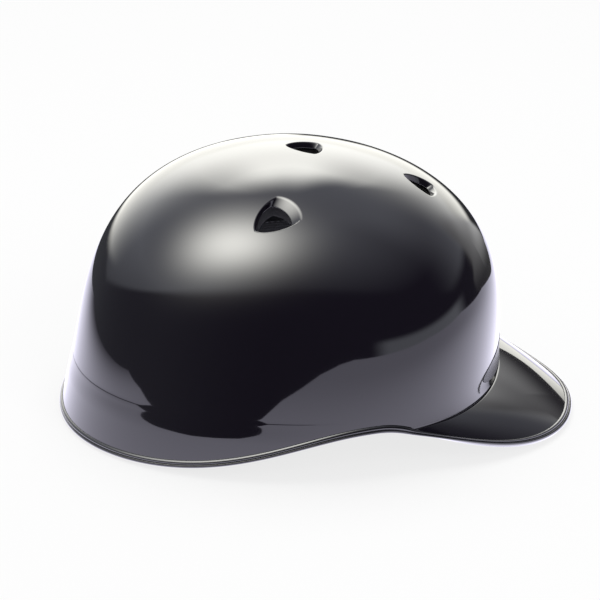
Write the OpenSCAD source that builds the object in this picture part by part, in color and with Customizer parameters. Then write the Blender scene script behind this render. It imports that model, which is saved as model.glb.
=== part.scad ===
// Baseball catcher helmet: a moulded skull cap with a short brim, its edge trim,
// its foam liners and its soft comfort pads.
// Front is -Y, up is +Z, and the helmet is symmetrical about X = 0.

/* [Crown] */
// Length of the crown at its rim, front to back
crown_len = 238; // [224:1:252]
// Width of the crown over the ears
crown_w = 209; // [196:1:222]
// Height of the crown above its rim
crown_h = 145.5; // [136:0.5:156]
// Fullness of the crown seen from the side: 2 is an ellipse, more is squarer
full_side_view = 4.0; // [3.4:0.1:4.4]
// Fullness of the crown seen from the front
full_front_view = 3.45; // [3:0.05:4]
// Share of its length that the crown loses toward its top
crown_taper = 0.07; // [0.04:0.01:0.1]
// How far the top of the crown lies forward of the middle of its rim
top_lean = 7; // [4:0.5:10]
// How far the crown bulges forward at half its height
brow_bulge = 5; // [3:0.5:7]
// Squareness of the crown seen from above: 0 is an ellipse
plan_square = 0.02; // [0.01:0.005:0.03]
// How much the middle of the top rises above the rest
crown_peak = 1.7; // [0.5:0.1:3]
// Thickness of the moulded shell
wall = 3.2; // [2.6:0.1:4]

/* [Rim and brim] */
// Height that the rim rises over each ear
ear_rise = 25.5; // [22:0.5:27]
// Angle off the front at which the rim is highest
ear_angle = 60; // [57:1:63]
// Angular half width of the ear arch toward the brim
ear_front = 21; // [18:1:24]
// Angular half width of the ear arch toward the neck
ear_rear = 33.5; // [30:0.5:37]
// How far the brim reaches beyond the brow
brim_reach = 43.5; // [36:0.5:50]
// Angle off the front at which the brim dies out
brim_angle = 50; // [47:1:53]
// Bluntness of the brim seen from above
brim_round = 2.7; // [2.3:0.1:3.2]
// How much the brim's front edge lies above the neck rim
brim_lift = 1.9; // [1:0.1:3]
// Height at which the brim leaves the crown
brow_h = 23; // [21:0.5:25]
// How far the crown's lip stands out above the brim
brow_lip = 1.6; // [0.8:0.1:2.4]
// How much the brim arches between the brow and its edge
brim_arch = 0.3; // [0.1:0.05:0.5]

/* [Neck band] */
// Height of the crease that runs round the back of the crown
crease_h = 32; // [32:0.5:36]
// How far the band below the crease stands out
band_step = 0.6; // [0.4:0.1:1.2]
// Angle off the front at which the crease fades out
band_start = 64; // [62:1:75]

/* [Vents] */
// Length of each side vent's mouth
side_vent_len = 26; // [22:0.5:29]
// Length of the two centre vents' mouths
mid_vent_len = 20; // [18:0.5:23]
// Width of a side vent's mouth
side_vent_w = 20.5; // [17:0.5:23]
// Width of a centre vent's mouth
mid_vent_w = 16.5; // [14:0.5:19]
// How pointed a vent's three corners are: 0 is an oval
vent_point = 0.07; // [0.03:0.01:0.1]
// How far a side vent's blunt end slopes inward through the wall
vent_slope = 5.5; // [3:0.25:6]
// How far a centre vent's blunt end slopes inward through the wall
mid_vent_slope = 2.5; // [1.5:0.25:4]
// How far a vent's sides and sharp end slope inward through the wall
vent_side_slope = 1.8; // [1:0.1:2.4]
// Place of the front vent between the top, 0, and the rim, 1
front_vent_at = 0.62; // [0.58:0.01:0.66]
// Place of the top vent between the top, 0, and the rim, 1
top_vent_at = 0.072; // [0.06:0.004:0.1]
// Place of the side vents between the top, 0, and the rim, 1
side_vent_at = 0.57; // [0.53:0.01:0.6]
// Angle of the side vents off the front
side_vent_angle = 91.5; // [87:0.5:96]
// How far the side vents are turned from pointing straight up the crown
side_vent_turn = 135; // [120:1:150]

/* [Badge] */
// Width of the blank oval badge on the brow
badge_w = 78; // [60:1:86]
// Height of the blank badge
badge_h = 13; // [10:0.5:15]
// Thickness of the badge
badge_t = 0.8; // [0.6:0.1:1.4]

/* [Edge trim] */
// How far the trim's outer leg covers the shell
trim_cover = 3.4; // [2.6:0.1:4]
// Thickness of the trim's rubber
trim_t = 1.15; // [0.9:0.05:1.5]
// Gap between the trim and the shell
trim_gap = 0.12; // [0.1:0.02:0.3]

/* [Foam liner] */
// Thickness of the foam liner
liner_t = 10; // [8:0.5:12]
// Gap between the shell and the liner, filled with adhesive
liner_gap = 0.5; // [0.4:0.1:0.8]
// Height at which the side liners end and the crown liner starts
liner_split = 108; // [102:1:114]
// Gap between neighbouring liner pieces
liner_joint = 4; // [3:0.5:6]
// Height of the liner's lower edge above the rim
liner_foot = 7; // [5:0.5:9]
// Angle off the front where the front liner meets the side liners
front_joint_angle = 47; // [44:1:50]
// Angle off the front where the side liners meet the rear liner
rear_joint_angle = 131; // [128:1:134]
// Margin round each vent where it passes through the liner
vent_margin = 1.5; // [1:0.25:2.5]

/* [Hook and loop] */
// Thickness of each hook or loop patch
patch_t = 1; // [0.8:0.1:1.4]
// Length of a patch
patch_len = 34; // [26:1:40]
// Width of a patch
patch_w = 16; // [12:1:20]

/* [Comfort pads] */
// Thickness of a comfort pad at its middle
pad_t = 8; // [6:0.5:10]
// Share of its thickness that a pad keeps at its border
pad_border = 0.35; // [0.25:0.05:0.5]
// How far a pad stands clear of what it rests on
pad_gap = 0.25; // [0.2:0.05:0.5]
// Angle that the forehead pad covers either side of the front
forehead_half = 40; // [34:1:43]
// Angle that the nape pad covers either side of the back
nape_half = 36; // [30:1:40]
// Angle off the front at the middle of each temple pad
temple_angle = 92; // [88:1:96]
// Angle that a temple pad covers either side of its middle
temple_half = 32; // [26:1:35]
// Height of the upper edge of the brow and temple pads
pad_top = 84; // [76:1:92]
// Angle off the front at the middle of each side crown pad
side_crown_angle = 43; // [41:1:45]
// Angle that a side crown pad covers either side of its middle
side_crown_half = 29; // [24:1:30]
// Angle that the rear crown pad covers either side of the back
rear_crown_half = 50; // [36:1:54]
// Where the crown pads start, between the top, 0, and the rim, 1
crown_pad_near = 0.22; // [0.2:0.01:0.28]
// Where the crown pads end, between the top, 0, and the rim, 1
crown_pad_far = 0.78; // [0.7:0.01:0.8]
// Height of the lower edge of the pads above the liner's foot
pad_foot = 3; // [2:0.5:6]

/* [Hidden] */

// Columns round the whole helmet, and rings on the crown above the crease
columns = 72;
rings = 13;
// Columns and rows on a liner block and on a comfort pad
block_columns = 16;
block_rows = 7;
pad_columns = 14;
pad_rows = 8;

// How far the rise at the top reaches, as a share of the crown's half width
peak_reach = 0.45;

// How far a vent's mouth is rounded out, and how deep that rounding goes
vent_lip = 0.6;
vent_lip_depth = 0.8;
// How far a cutter runs past what it cuts
cut_clear = 8;
past = 3;

// How softly the brim starts from the rim
brim_blend = 0.08;
// Height of the shell's own flank below the foot of the crown
flank = 2;
// Angle over which the brow lip and the band fade
fade = 25;
// Half height of the crease's rounded step
crease_half = 0.6;
// Height over which the brow lip fades up the crown
lip_fade = 3;
// Gap behind the badge, and its height above the brim
badge_gap = 0.25;
badge_rise = 3.5;

// How round a pad's corners are, how far its sides are drawn in, and how much
// wider a crown pad is near the top
corner_round = 0.4;
side_draw = 0.05;
crown_pad_flare = 0.12;
// Width and depth of a sewn channel, as shares of the pad
seam_w = 0.07;
seam_depth = 0.45;

liner_out = wall + liner_gap;
liner_in = liner_out + liner_t;
hook_out = liner_in + pad_gap;
loop_out = hook_out + patch_t;
pad_out = loop_out + patch_t + pad_gap;

function unit(v) = v/norm(v);
function mix(p, q, s) = p + (q - p)*s;
function smooth(x) = let(c = max(0, min(1, x))) c*c*(3 - 2*c);
// Angle off the front, from 0 at the brow to 180 at the neck
function off_front(a) = let(f = abs(a) % 360) f > 180 ? 360 - f : f;

function fullness(a) = 1/(pow(cos(a), 2)/full_side_view + pow(sin(a), 2)/full_front_view);
function spread(a, t) = sqrt(max(0, 1 - pow(t, fullness(a))));
function height_at(a, out) = crown_h*pow(1 - out*out, 1/fullness(a));
function lean(t) = top_lean*t + 4*brow_bulge*t*(1 - t);

// A point of the crown at angle a off the front and height z, grown sideways
function crown_point(a, z, grow = 0) =
  let(t = min(1, max(0, z)/crown_h), s = spread(a, t),
      k = s*(1 + plan_square*pow(s, 4)*(1 - cos(4*a))))
  [(crown_w/2 + grow)*k*sin(a),
   -lean(t) - (crown_len/2*(1 - crown_taper*t) + grow)*k*cos(a),
   z + crown_peak*pow(max(0, 1 - pow(s/peak_reach, 2)), 2)];

// The outward direction of the crown at angle a and height z
function crown_normal(a, z) =
  let(h = min(0.5, (crown_h - z)/3))
  h < 0.0001 ? [0, 0, 1]
  : unit(cross(crown_point(a + 1, z) - crown_point(a - 1, z),
               crown_point(a, z + h) - crown_point(a, z - h)));
function crown_skin(a, z, depth) = crown_point(a, z) - depth*crown_normal(a, z);

// Height of the shell's edge, and of the foot of the crown just above it
function rim_z(a) =
  let(f = off_front(a), half = f < ear_angle ? ear_front : ear_rear)
  ear_rise*exp(-pow((f - ear_angle)/half, 2))
  + brim_lift*pow(max(0, 1 - pow(f/ear_angle, 2)), 2);
function foot_z(a) =
  max(rim_z(a) + flank, brow_h*(1 - smooth((off_front(a) - ear_angle)/fade)));
function brim_share(a) =
  let(g = 1 - pow(off_front(a)/brim_angle, brim_round))
  (g + sqrt(g*g + brim_blend*brim_blend))/2;

// How far the shell stands proud of the plain crown: the band and the brow lip
function band_proud(a, z) =
  band_step*smooth((crease_h + crease_half - z)/(2*crease_half))
  *smooth((off_front(a) - band_start)/fade);
function lip_proud(a, z) =
  brow_lip*exp(-(z - foot_z(a))/lip_fade)*smooth((ear_angle - off_front(a))/fade);

// A point of the shell's outer skin above the foot of the crown
function wall_point(a, z) = crown_point(a, z, band_proud(a, z) + lip_proud(a, z));
// A point between the foot of the crown, 0, and the shell's edge, 1
function brim_point(a, s) =
  let(z = mix(foot_z(a), rim_z(a), s + brim_arch*brim_share(a)*(s*s - s)))
  crown_point(a, z, band_proud(a, z) + (1 - s)*lip_proud(a, foot_z(a)))
  - [0, brim_reach*brim_share(a)*s, 0];

crease_top = crease_h + crease_half;
crease_low = crease_h - crease_half;
function column_angle(j) = 360*j/columns;
function crown_ring_z(i) = crease_top + (crown_h - crease_top)*(1 - pow(i/rings, 2));

// The shell's outer skin as rings from the top down to the edge
shell_rings = [
  for (i = [1:rings]) [for (j = [0:columns - 1])
    wall_point(column_angle(j), crown_ring_z(i))],
  for (s = [0, 0.5, 0.85]) [for (j = [0:columns - 1]) let(a = column_angle(j))
    wall_point(a, mix(crease_low, foot_z(a), s))],
  for (s = [0, 0.3, 0.65, 1]) [for (j = [0:columns - 1])
    brim_point(column_angle(j), s)]];
shell_top = [0, -top_lean, crown_h + crown_peak];

// Outward directions at each point of a set of rings that starts below a pole
function ring_normals(r, top) =
  let(n = len(r), m = len(r[0]))
  [for (i = [0:n - 1]) [for (j = [0:m - 1])
    unit(cross(r[i][(j + 1) % m] - r[i][(j + m - 1) % m],
      (i == 0 ? top : r[i - 1][j]) - r[min(i + 1, n - 1)][j]))]];
shell_normals = ring_normals(shell_rings, shell_top);
function offset_rings(r, n, d) =
  [for (i = [0:len(r) - 1]) [for (j = [0:len(r[0]) - 1]) r[i][j] - d*n[i][j]]];

// A closed bowl between two sets of rings, each with its own pole
module bowl(outer, outer_top, inner, inner_top) {
  n = len(outer);
  m = len(outer[0]);
  io = 2*n*m;
  function o(i, j) = i*m + j % m;
  function q(i, j) = n*m + i*m + j % m;
  polyhedron(
    points = [each [for (r = outer) each r], each [for (r = inner) each r],
      outer_top, inner_top],
    faces = [
      for (j = [0:m - 1]) each [
        [io, o(0, j + 1), o(0, j)], [io + 1, q(0, j), q(0, j + 1)],
        [o(n - 1, j), o(n - 1, j + 1), q(n - 1, j + 1)],
        [o(n - 1, j), q(n - 1, j + 1), q(n - 1, j)]],
      for (i = [0:n - 2], j = [0:m - 1]) each [
        [o(i, j), o(i, j + 1), o(i + 1, j + 1)], [o(i, j), o(i + 1, j + 1), o(i + 1, j)],
        [q(i, j), q(i + 1, j + 1), q(i, j + 1)], [q(i, j), q(i + 1, j), q(i + 1, j + 1)]]]);
}

// A closed block between two grids of points, rows from the top down
module block(outer, inner) {
  n = len(outer) - 1;
  m = len(outer[0]) - 1;
  w = m + 1;
  function o(i, j) = i*w + j;
  function q(i, j) = (n + 1)*w + i*w + j;
  polyhedron(
    points = [each [for (r = outer) each r], each [for (r = inner) each r]],
    faces = [
      for (i = [0:n - 1], j = [0:m - 1]) each [
        [o(i, j), o(i, j + 1), o(i + 1, j + 1)], [o(i, j), o(i + 1, j + 1), o(i + 1, j)],
        [q(i, j), q(i + 1, j + 1), q(i, j + 1)], [q(i, j), q(i + 1, j), q(i + 1, j + 1)]],
      for (j = [0:m - 1]) each [
        [o(n, j), o(n, j + 1), q(n, j + 1)], [o(n, j), q(n, j + 1), q(n, j)],
        [q(0, j), q(0, j + 1), o(0, j + 1)], [q(0, j), o(0, j + 1), o(0, j)]],
      for (i = [0:n - 1]) each [
        [q(i, 0), o(i, 0), o(i + 1, 0)], [q(i, 0), o(i + 1, 0), q(i + 1, 0)],
        [o(i, m), q(i, m), q(i + 1, m)], [o(i, m), q(i + 1, m), o(i + 1, m)]]]);
}

// A slice of a vent, drawn in by the margins given at its blunt end and elsewhere
module vent_slice(length, width, z, end_in, side_in) {
  x_half = (length - end_in - side_in)/2;
  y_half = width/2 - side_in;
  translate([(end_in - side_in)/2, 0, z]) linear_extrude(0.1) polygon([
    for (a = [0:15:345])
      let(reach = 1 + vent_point*cos(3*a), turn = -3*vent_point*sin(3*a))
      [x_half*(reach*cos(a) - turn*sin(a) - vent_point),
       y_half*(reach*sin(a) + turn*cos(a))]]);
}

// A vent's cutter with its sharp end toward +X, through a wall down to depth
module vent_cutter(length, width, slope, margin, depth) {
  mouth = -margin - vent_lip;
  end_in = slope - margin;
  side_in = vent_side_slope - margin;
  hull() {
    vent_slice(length, width, cut_clear, mouth, mouth);
    vent_slice(length, width, -vent_lip_depth, -margin, -margin);
  }
  hull() {
    vent_slice(length, width, -vent_lip_depth, -margin, -margin);
    vent_slice(length, width, -wall, end_in, side_in);
    vent_slice(length, width, -depth, end_in, side_in);
  }
}

// Places a cutter on the crown at angle a, turned from pointing up the crown
module on_crown(a, out, turn) {
  z = height_at(a, out);
  n = crown_normal(a, z);
  side = unit(cross([0, 0, 1], n));
  up = cross(n, side);
  x = up*cos(turn) + side*sin(turn);
  y = cross(n, x);
  p = crown_point(a, z);
  multmatrix([[x[0], y[0], n[0], p[0]], [x[1], y[1], n[1], p[1]],
              [x[2], y[2], n[2], p[2]], [0, 0, 0, 1]]) children();
}

// Cutters for the four vents, deep enough for the wall and what lies behind it
module vent_cutters(margin, depth) {
  on_crown(0, front_vent_at, 0) vent_cutter(mid_vent_len, mid_vent_w, mid_vent_slope, margin, depth);
  on_crown(0, top_vent_at, 0) vent_cutter(mid_vent_len, mid_vent_w, mid_vent_slope, margin, depth);
  for (side = [0, 1]) mirror([side, 0, 0])
    on_crown(side_vent_angle, side_vent_at, side_vent_turn)
      vent_cutter(side_vent_len, side_vent_w, vent_slope, margin, depth);
}

module shell() {
  color([0.05, 0.055, 0.07]) stand() difference() {
    bowl(shell_rings, shell_top,
      offset_rings(shell_rings, shell_normals, wall), shell_top - [0, 0, wall]);
    vent_cutters(0, wall + past);
  }
}

// The trim's section: first number into the shell, second out of its skin
trim_section = [
  [trim_cover, trim_gap], [trim_cover - 0.2, trim_t*0.65], [trim_cover - 0.8, trim_t],
  [trim_cover - 1.4, trim_t], [trim_cover - 1.9, trim_t*0.75], [1, trim_t*0.4],
  [0.4, trim_t*0.7], [-0.2, trim_t*0.85], [-trim_t*0.7, trim_t*0.5],
  [-trim_t, -wall*0.2], [-trim_t, -wall*0.85], [-trim_t*0.7, -wall - trim_t*0.6],
  [0.2, -wall - trim_t*0.9], [trim_cover - 0.9, -wall - trim_t*0.75],
  [trim_cover - 0.3, -wall - trim_gap], [-trim_gap, -wall - trim_gap],
  [-trim_gap, trim_gap]];

// The trim as one section per column, following the shell's edge
trim_rings = [for (j = [0:columns - 1])
  let(last = len(shell_rings) - 1, edge = shell_rings[last][j],
      n = shell_normals[last][j], d = shell_rings[last - 1][j] - edge,
      into = unit(d - n*(d*n)))
  [for (s = trim_section) edge + s[0]*into + s[1]*n]];

// Stands the helmet on its trim at z = 0
floor_z = min([for (r = trim_rings, p = r) p[2]]);
module stand() { translate([0, 0, -floor_z]) children(); }

module edge_trim() {
  k = len(trim_section);
  color([0.3, 0.3, 0.33]) stand() polyhedron(
    points = [for (r = trim_rings) each r],
    faces = [for (j = [0:columns - 1], i = [0:k - 1])
      let(p = j*k + i, q = j*k + (i + 1) % k,
          r = (j + 1) % columns*k + (i + 1) % k, s = (j + 1) % columns*k + i)
      each [[p, s, r], [p, r, q]]]);
}

// A point of the brow's skin above the foot, pushed out by a height
function brow_skin(a, z, out) = wall_point(a, z) + out*crown_normal(a, z);

module front_badge() {
  half_angle = asin(badge_w/crown_w);
  mid_z = brow_h + badge_rise + badge_h/2;
  n = 8;
  function oval(i, j, out) = let(u = 2*j/n - 1, v = 1 - 2*i/n)
    brow_skin(half_angle*u*sqrt(1 - v*v/2), mid_z + badge_h/2*v*sqrt(1 - u*u/2), out);
  color([0.5, 0.5, 0.53]) stand() block(
    [for (i = [0:n]) [for (j = [0:n]) oval(i, j, badge_gap + badge_t)]],
    [for (i = [0:n]) [for (j = [0:n]) oval(i, j, badge_gap)]]);
}

function liner_foot_z(a) = foot_z(a) + liner_foot;

// One curved block of liner between two angles, under the crown liner
module side_liner(from, to) {
  function at(i, j, depth) = let(a = mix(from, to, j/block_columns),
      top = liner_split - liner_joint/2)
    crown_skin(a, mix(top, liner_foot_z(a), i/block_rows), depth);
  color([0.16, 0.16, 0.17]) stand() block(
    [for (i = [0:block_rows]) [for (j = [0:block_columns]) at(i, j, liner_out)]],
    [for (i = [0:block_rows]) [for (j = [0:block_columns]) at(i, j, liner_in)]]);
}

module crown_liner() {
  low = liner_split + liner_joint/2;
  n = 7;
  m = 48;
  function rings_at(depth) = [for (i = [1:n]) [for (j = [0:m - 1])
    crown_skin(360*j/m, low + (crown_h - low)*(1 - pow(i/n, 2)), depth)]];
  color([0.16, 0.16, 0.17]) stand() difference() {
    bowl(rings_at(liner_out), shell_top - [0, 0, liner_out],
      rings_at(liner_in), shell_top - [0, 0, liner_in]);
    vent_cutters(vent_margin, liner_in + past);
  }
}

joint_half = liner_joint/crown_w*180/PI;
module front_liner() { side_liner(joint_half - front_joint_angle, front_joint_angle - joint_half); }
module rear_liner() { side_liner(rear_joint_angle + joint_half, 360 - rear_joint_angle - joint_half); }
module left_liner() { side_liner(front_joint_angle + joint_half, rear_joint_angle - joint_half); }
module right_liner() { mirror([1, 0, 0]) left_liner(); }

// Where each pad and each patch lies: its angle and height at u and v from -1 to 1
function band_place(mid, half) = function(u, v)
  let(a = mid + half*u, low = liner_foot_z(a) + pad_foot) [a, mix(low, pad_top, (v + 1)/2)];
function crown_place(mid, half, near, far) = function(u, v)
  let(a = mid + half*u*(1 + crown_pad_flare*v)) [a, height_at(a, mix(near, far, (1 - v)/2))];

// Rounds the corners of the square from -1 to 1 and draws its sides in a little
function round_u(u, v) = u*sqrt(1 - corner_round*v*v)*(1 - side_draw*(1 - v*v));
function round_v(u, v) = v*sqrt(1 - corner_round*u*u)*(1 - side_draw*(1 - u*u));
function plump(u, v, seams) =
  let(edge = sqrt(max(0, 1 - pow(u, 4))*max(0, 1 - pow(v, 4))),
      sewn = max([for (s = seams) exp(-pow((u - s)/seam_w, 2))]))
  pad_border + (1 - pad_border)*edge*(1 - seam_depth*sewn);

module comfort_pad(place, seams = [9]) {
  function at(i, j, grow) =
    let(u = 2*j/pad_columns - 1, v = 1 - 2*i/pad_rows,
        p = place(round_u(u, v), round_v(u, v)))
    crown_skin(p[0], p[1], pad_out + grow*pad_t*plump(u, v, seams));
  color([0.1, 0.1, 0.11]) stand() block(
    [for (i = [0:pad_rows]) [for (j = [0:pad_columns]) at(i, j, 0)]],
    [for (i = [0:pad_rows]) [for (j = [0:pad_columns]) at(i, j, 1)]]);
}

forehead_place = band_place(0, forehead_half);
nape_place = band_place(180, nape_half);
temple_place = band_place(temple_angle, temple_half);
crown_place_side = crown_place(side_crown_angle, side_crown_half, crown_pad_near, crown_pad_far);
crown_place_rear = crown_place(180, rear_crown_half, crown_pad_near, crown_pad_far);

module forehead_pad() { comfort_pad(forehead_place, [-0.33, 0.33]); }
module nape_pad() { comfort_pad(nape_place, [-0.33, 0.33]); }
module left_temple_pad() { comfort_pad(temple_place, [0]); }
module right_temple_pad() { mirror([1, 0, 0]) left_temple_pad(); }
module left_crown_pad() { comfort_pad(crown_place_side); }
module right_crown_pad() { mirror([1, 0, 0]) left_crown_pad(); }
module rear_crown_pad() { comfort_pad(crown_place_rear); }

// A hook or loop patch behind a pad, centred at u and v of the pad's own place
module patch(place, u, v, upright, depth) {
  p = place(u, v);
  reach = norm(crown_point(p[0] + 1, p[1]) - crown_point(p[0] - 1, p[1]))/2;
  climb = norm(crown_point(p[0], p[1] + 0.5) - crown_point(p[0], p[1] - 0.5));
  du = (upright ? patch_w : patch_len)/2/reach;
  dv = (upright ? patch_len : patch_w)/2/climb;
  n = 3;
  function at(i, j, d) = let(s = 2*j/n - 1, t = 1 - 2*i/n)
    crown_skin(p[0] + du*s*sqrt(1 - 0.2*t*t), p[1] + dv*t*sqrt(1 - 0.2*s*s), d);
  block([for (i = [0:n]) [for (j = [0:n]) at(i, j, depth)]],
    [for (i = [0:n]) [for (j = [0:n]) at(i, j, depth + patch_t - 0.05)]]);
}

module patches(depth) stand() {
  for (s = [-0.55, 0.55]) {
    patch(forehead_place, s, 0, false, depth);
    patch(nape_place, s, 0, false, depth);
    patch(temple_place, s, 0, true, depth);
    mirror([1, 0, 0]) patch(temple_place, s, 0, true, depth);
  }
  patch(crown_place_side, 0, 0, false, depth);
  mirror([1, 0, 0]) patch(crown_place_side, 0, 0, false, depth);
  patch(crown_place_rear, 0, 0, false, depth);
}

module hook_patches() { color([0.2, 0.2, 0.21]) patches(hook_out); }
module loop_patches() { color([0.25, 0.25, 0.26]) patches(loop_out); }

shell();
edge_trim();
front_badge();
crown_liner();
front_liner();
rear_liner();
left_liner();
right_liner();
hook_patches();
loop_patches();
forehead_pad();
nape_pad();
left_temple_pad();
right_temple_pad();
left_crown_pad();
right_crown_pad();
rear_crown_pad();
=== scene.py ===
"""Dresses the catcher helmet's frame: its glossy moulded shell, rubber trim, foam liners and soft pads."""
import math

import bpy
import numpy as np
from bpy.props import FloatProperty, FloatVectorProperty, PointerProperty
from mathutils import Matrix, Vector
from mathutils.geometry import delaunay_2d_cdt


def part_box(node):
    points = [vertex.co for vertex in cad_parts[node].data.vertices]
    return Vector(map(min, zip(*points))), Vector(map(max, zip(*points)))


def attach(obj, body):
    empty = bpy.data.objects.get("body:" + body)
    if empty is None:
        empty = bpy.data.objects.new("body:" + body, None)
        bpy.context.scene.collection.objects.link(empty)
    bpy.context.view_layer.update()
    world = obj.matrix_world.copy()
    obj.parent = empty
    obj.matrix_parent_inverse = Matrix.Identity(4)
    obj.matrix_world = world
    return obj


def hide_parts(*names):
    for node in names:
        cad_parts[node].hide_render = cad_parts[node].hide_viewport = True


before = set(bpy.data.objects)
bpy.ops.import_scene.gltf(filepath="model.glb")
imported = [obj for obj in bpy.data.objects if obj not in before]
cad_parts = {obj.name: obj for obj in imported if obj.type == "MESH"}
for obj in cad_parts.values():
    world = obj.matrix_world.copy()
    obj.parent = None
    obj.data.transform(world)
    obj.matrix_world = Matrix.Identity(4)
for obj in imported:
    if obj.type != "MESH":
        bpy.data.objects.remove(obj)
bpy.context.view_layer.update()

bl_info = {
    "name": "Catcher helmet",
    "version": (1, 0, 0),
    "blender": (4, 5, 0),
    "location": "View3D > Sidebar > Helmet",
    "description": "Makes the moulded shell, trim, foam liners and comfort pads of a catcher helmet",
    "category": "Object",
}

MM = 0.001
SHELL_LOW, SHELL_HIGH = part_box("shell")
BAND_STEP_MM = 0.6
CROWN_WIDTH_MM = (SHELL_HIGH.x - SHELL_LOW.x) / MM - 2 * BAND_STEP_MM
CROWN_LENGTH_MM = 2 * (SHELL_HIGH.y / MM - BAND_STEP_MM)
# Columns of points round the helmet, round the crown liner and round a vent's wall
COLUMNS = 360
LINER_COLUMNS = 180
VENT_COLUMNS = 96
# The attribute that lays a pad's fabric out flat
CLOTH = "cloth"
# The white table's outline in millimetres: toward the camera, and to the right in the picture
TABLE_OUTLINE = [(113, -326), (124, -281), (139, -233), (141, -190), (144, -143), (148, -121),
                 (151, -88), (160, -67), (171, -45), (193, -30), (249, -18), (314, 6), (473, 57),
                 (789, 198), (1100, 400), (1100, 2500), (-330, 2500), (-330, 200), (-260, -120),
                 (-260, -385), (-44, -365), (20, -355), (78, -336)]


def length(name, text, millimetres):
    """A size in metres, given in millimetres."""
    return FloatProperty(name=name, description=text, default=millimetres * MM, unit="LENGTH",
                         subtype="DISTANCE", precision=5)


def angle(name, text, degrees):
    """An angle in radians, given in degrees."""
    return FloatProperty(name=name, description=text, default=math.radians(degrees), unit="ROTATION",
                         subtype="ANGLE")


def share(name, text, value):
    """A plain number or a share."""
    return FloatProperty(name=name, description=text, default=value, precision=4)


def linear(hex_code):
    """The linear colour of an sRGB hex code."""
    channels = [int(hex_code[i:i + 2], 16) / 255 for i in (1, 3, 5)]
    return tuple(c / 12.92 if c <= 0.04045 else ((c + 0.055) / 1.055) ** 2.4 for c in channels)


def colour(name, text, hex_code):
    """A colour, given as an sRGB hex code."""
    return FloatVectorProperty(name=name, description=text, default=linear(hex_code), size=3, min=0, max=1,
                               subtype="COLOR")


class HelmetShape(bpy.types.PropertyGroup):
    """Sizes of the moulded shell, its brim and its vents."""
    crown_length: length("Crown length", "Length of the crown at its rim", CROWN_LENGTH_MM)
    crown_width: length("Crown width", "Width of the crown over the ears", CROWN_WIDTH_MM)
    crown_height: length("Crown height", "Height of the crown above its rim", 145.5)
    side_fullness: share("Side fullness", "Squareness of the crown seen from the side", 4.0)
    front_fullness: share("Front fullness", "Squareness of the crown seen from the front", 3.45)
    crown_taper: share("Crown taper", "Share of its length that the crown loses toward its top", 0.07)
    top_lean: length("Top lean", "How far the top lies forward of the middle of the rim", 7)
    brow_bulge: length("Brow bulge", "How far the crown bulges forward at half its height", 5)
    plan_square: share("Plan squareness", "Squareness of the crown seen from above", 0.02)
    crown_peak: length("Crown peak", "How much the middle of the top rises above the rest", 1.7)
    peak_reach: share("Peak reach", "How far the rise at the top reaches outward", 0.45)
    wall: length("Wall", "Thickness of the moulded shell", 3.2)
    ear_rise: length("Ear rise", "Height that the rim rises over each ear", 25.5)
    ear_angle: angle("Ear angle", "Angle off the front at which the rim is highest", 60)
    ear_front: angle("Ear front", "Angular half width of the ear arch toward the brim", 21)
    ear_rear: angle("Ear rear", "Angular half width of the ear arch toward the neck", 33.5)
    fade: angle("Fade", "Angle over which the brow lip and the neck band fade", 25)
    brim_reach: length("Brim reach", "How far the brim reaches beyond the brow", 43.5)
    brim_angle: angle("Brim angle", "Angle off the front at which the brim dies out", 50)
    brim_round: share("Brim roundness", "Bluntness of the brim seen from above", 2.7)
    brim_blend: share("Brim blend", "How softly the brim starts from the rim", 0.08)
    brim_lift: length("Brim lift", "How much the brim's front edge lies above the neck rim", 1.9)
    brim_arch: share("Brim arch", "How much the brim arches between the brow and its edge", 0.3)
    brow_height: length("Brow height", "Height at which the brim leaves the crown", 23)
    flank: length("Flank", "Height of the shell's own flank below the foot of the crown", 2)
    brow_lip: length("Brow lip", "How far the crown's lip flares out above the brim", 1.4)
    lip_foot: length("Lip foot", "Height of the lip's lower edge above the brim", 1.6)
    lip_roll: length("Lip roll", "Radius of the lip's edge", 0.35)
    lip_fade: length("Lip fade", "Height over which the lip's flare fades up the crown", 6.5)
    crease_height: length("Crease height", "Height of the crease round the back of the crown", 32)
    crease_half: length("Crease half height", "Half height of the crease's rounded step", 0.18)
    crease_share: share("Crease share", "Share of the band's step that the crease itself takes", 0.15)
    band_flare: length("Band flare", "Height below the crease over which the band flares out", 12)
    band_step: length("Band step", "How far the neck band stands out below the crease", BAND_STEP_MM)
    band_start: angle("Band start", "Angle off the front at which the crease fades out", 64)
    side_vent_length: length("Side vent length", "Length of each side vent's mouth", 26)
    side_vent_width: length("Side vent width", "Width of each side vent's mouth", 20.5)
    side_vent_place: share("Side vent place", "Place of the side vents from the top to the rim", 0.57)
    side_vent_angle: angle("Side vent angle", "Angle of the side vents off the front", 91.5)
    side_vent_turn: angle("Side vent turn", "Turn of the side vents from pointing up the crown", 135)
    mid_vent_length: length("Centre vent length", "Length of the two centre vents' mouths", 20)
    mid_vent_width: length("Centre vent width", "Width of the two centre vents' mouths", 16.5)
    front_vent_place: share("Front vent place", "Place of the front vent from the top to the rim", 0.62)
    top_vent_place: share("Top vent place", "Place of the top vent from the top to the rim", 0.072)
    vent_point: share("Vent point", "How pointed a vent's three corners are", 0.12)
    vent_slope: length("Vent slope", "How far a side vent's blunt end slopes inward", 6.5)
    mid_vent_slope: length("Centre vent slope", "How far a centre vent's blunt end slopes inward", 2.5)
    vent_side_slope: length("Vent side slope", "How far a vent's other sides slope inward", 1.8)
    vent_roll: length("Vent roll", "How far the rounding of a vent's mouth reaches", 0.9)


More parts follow.
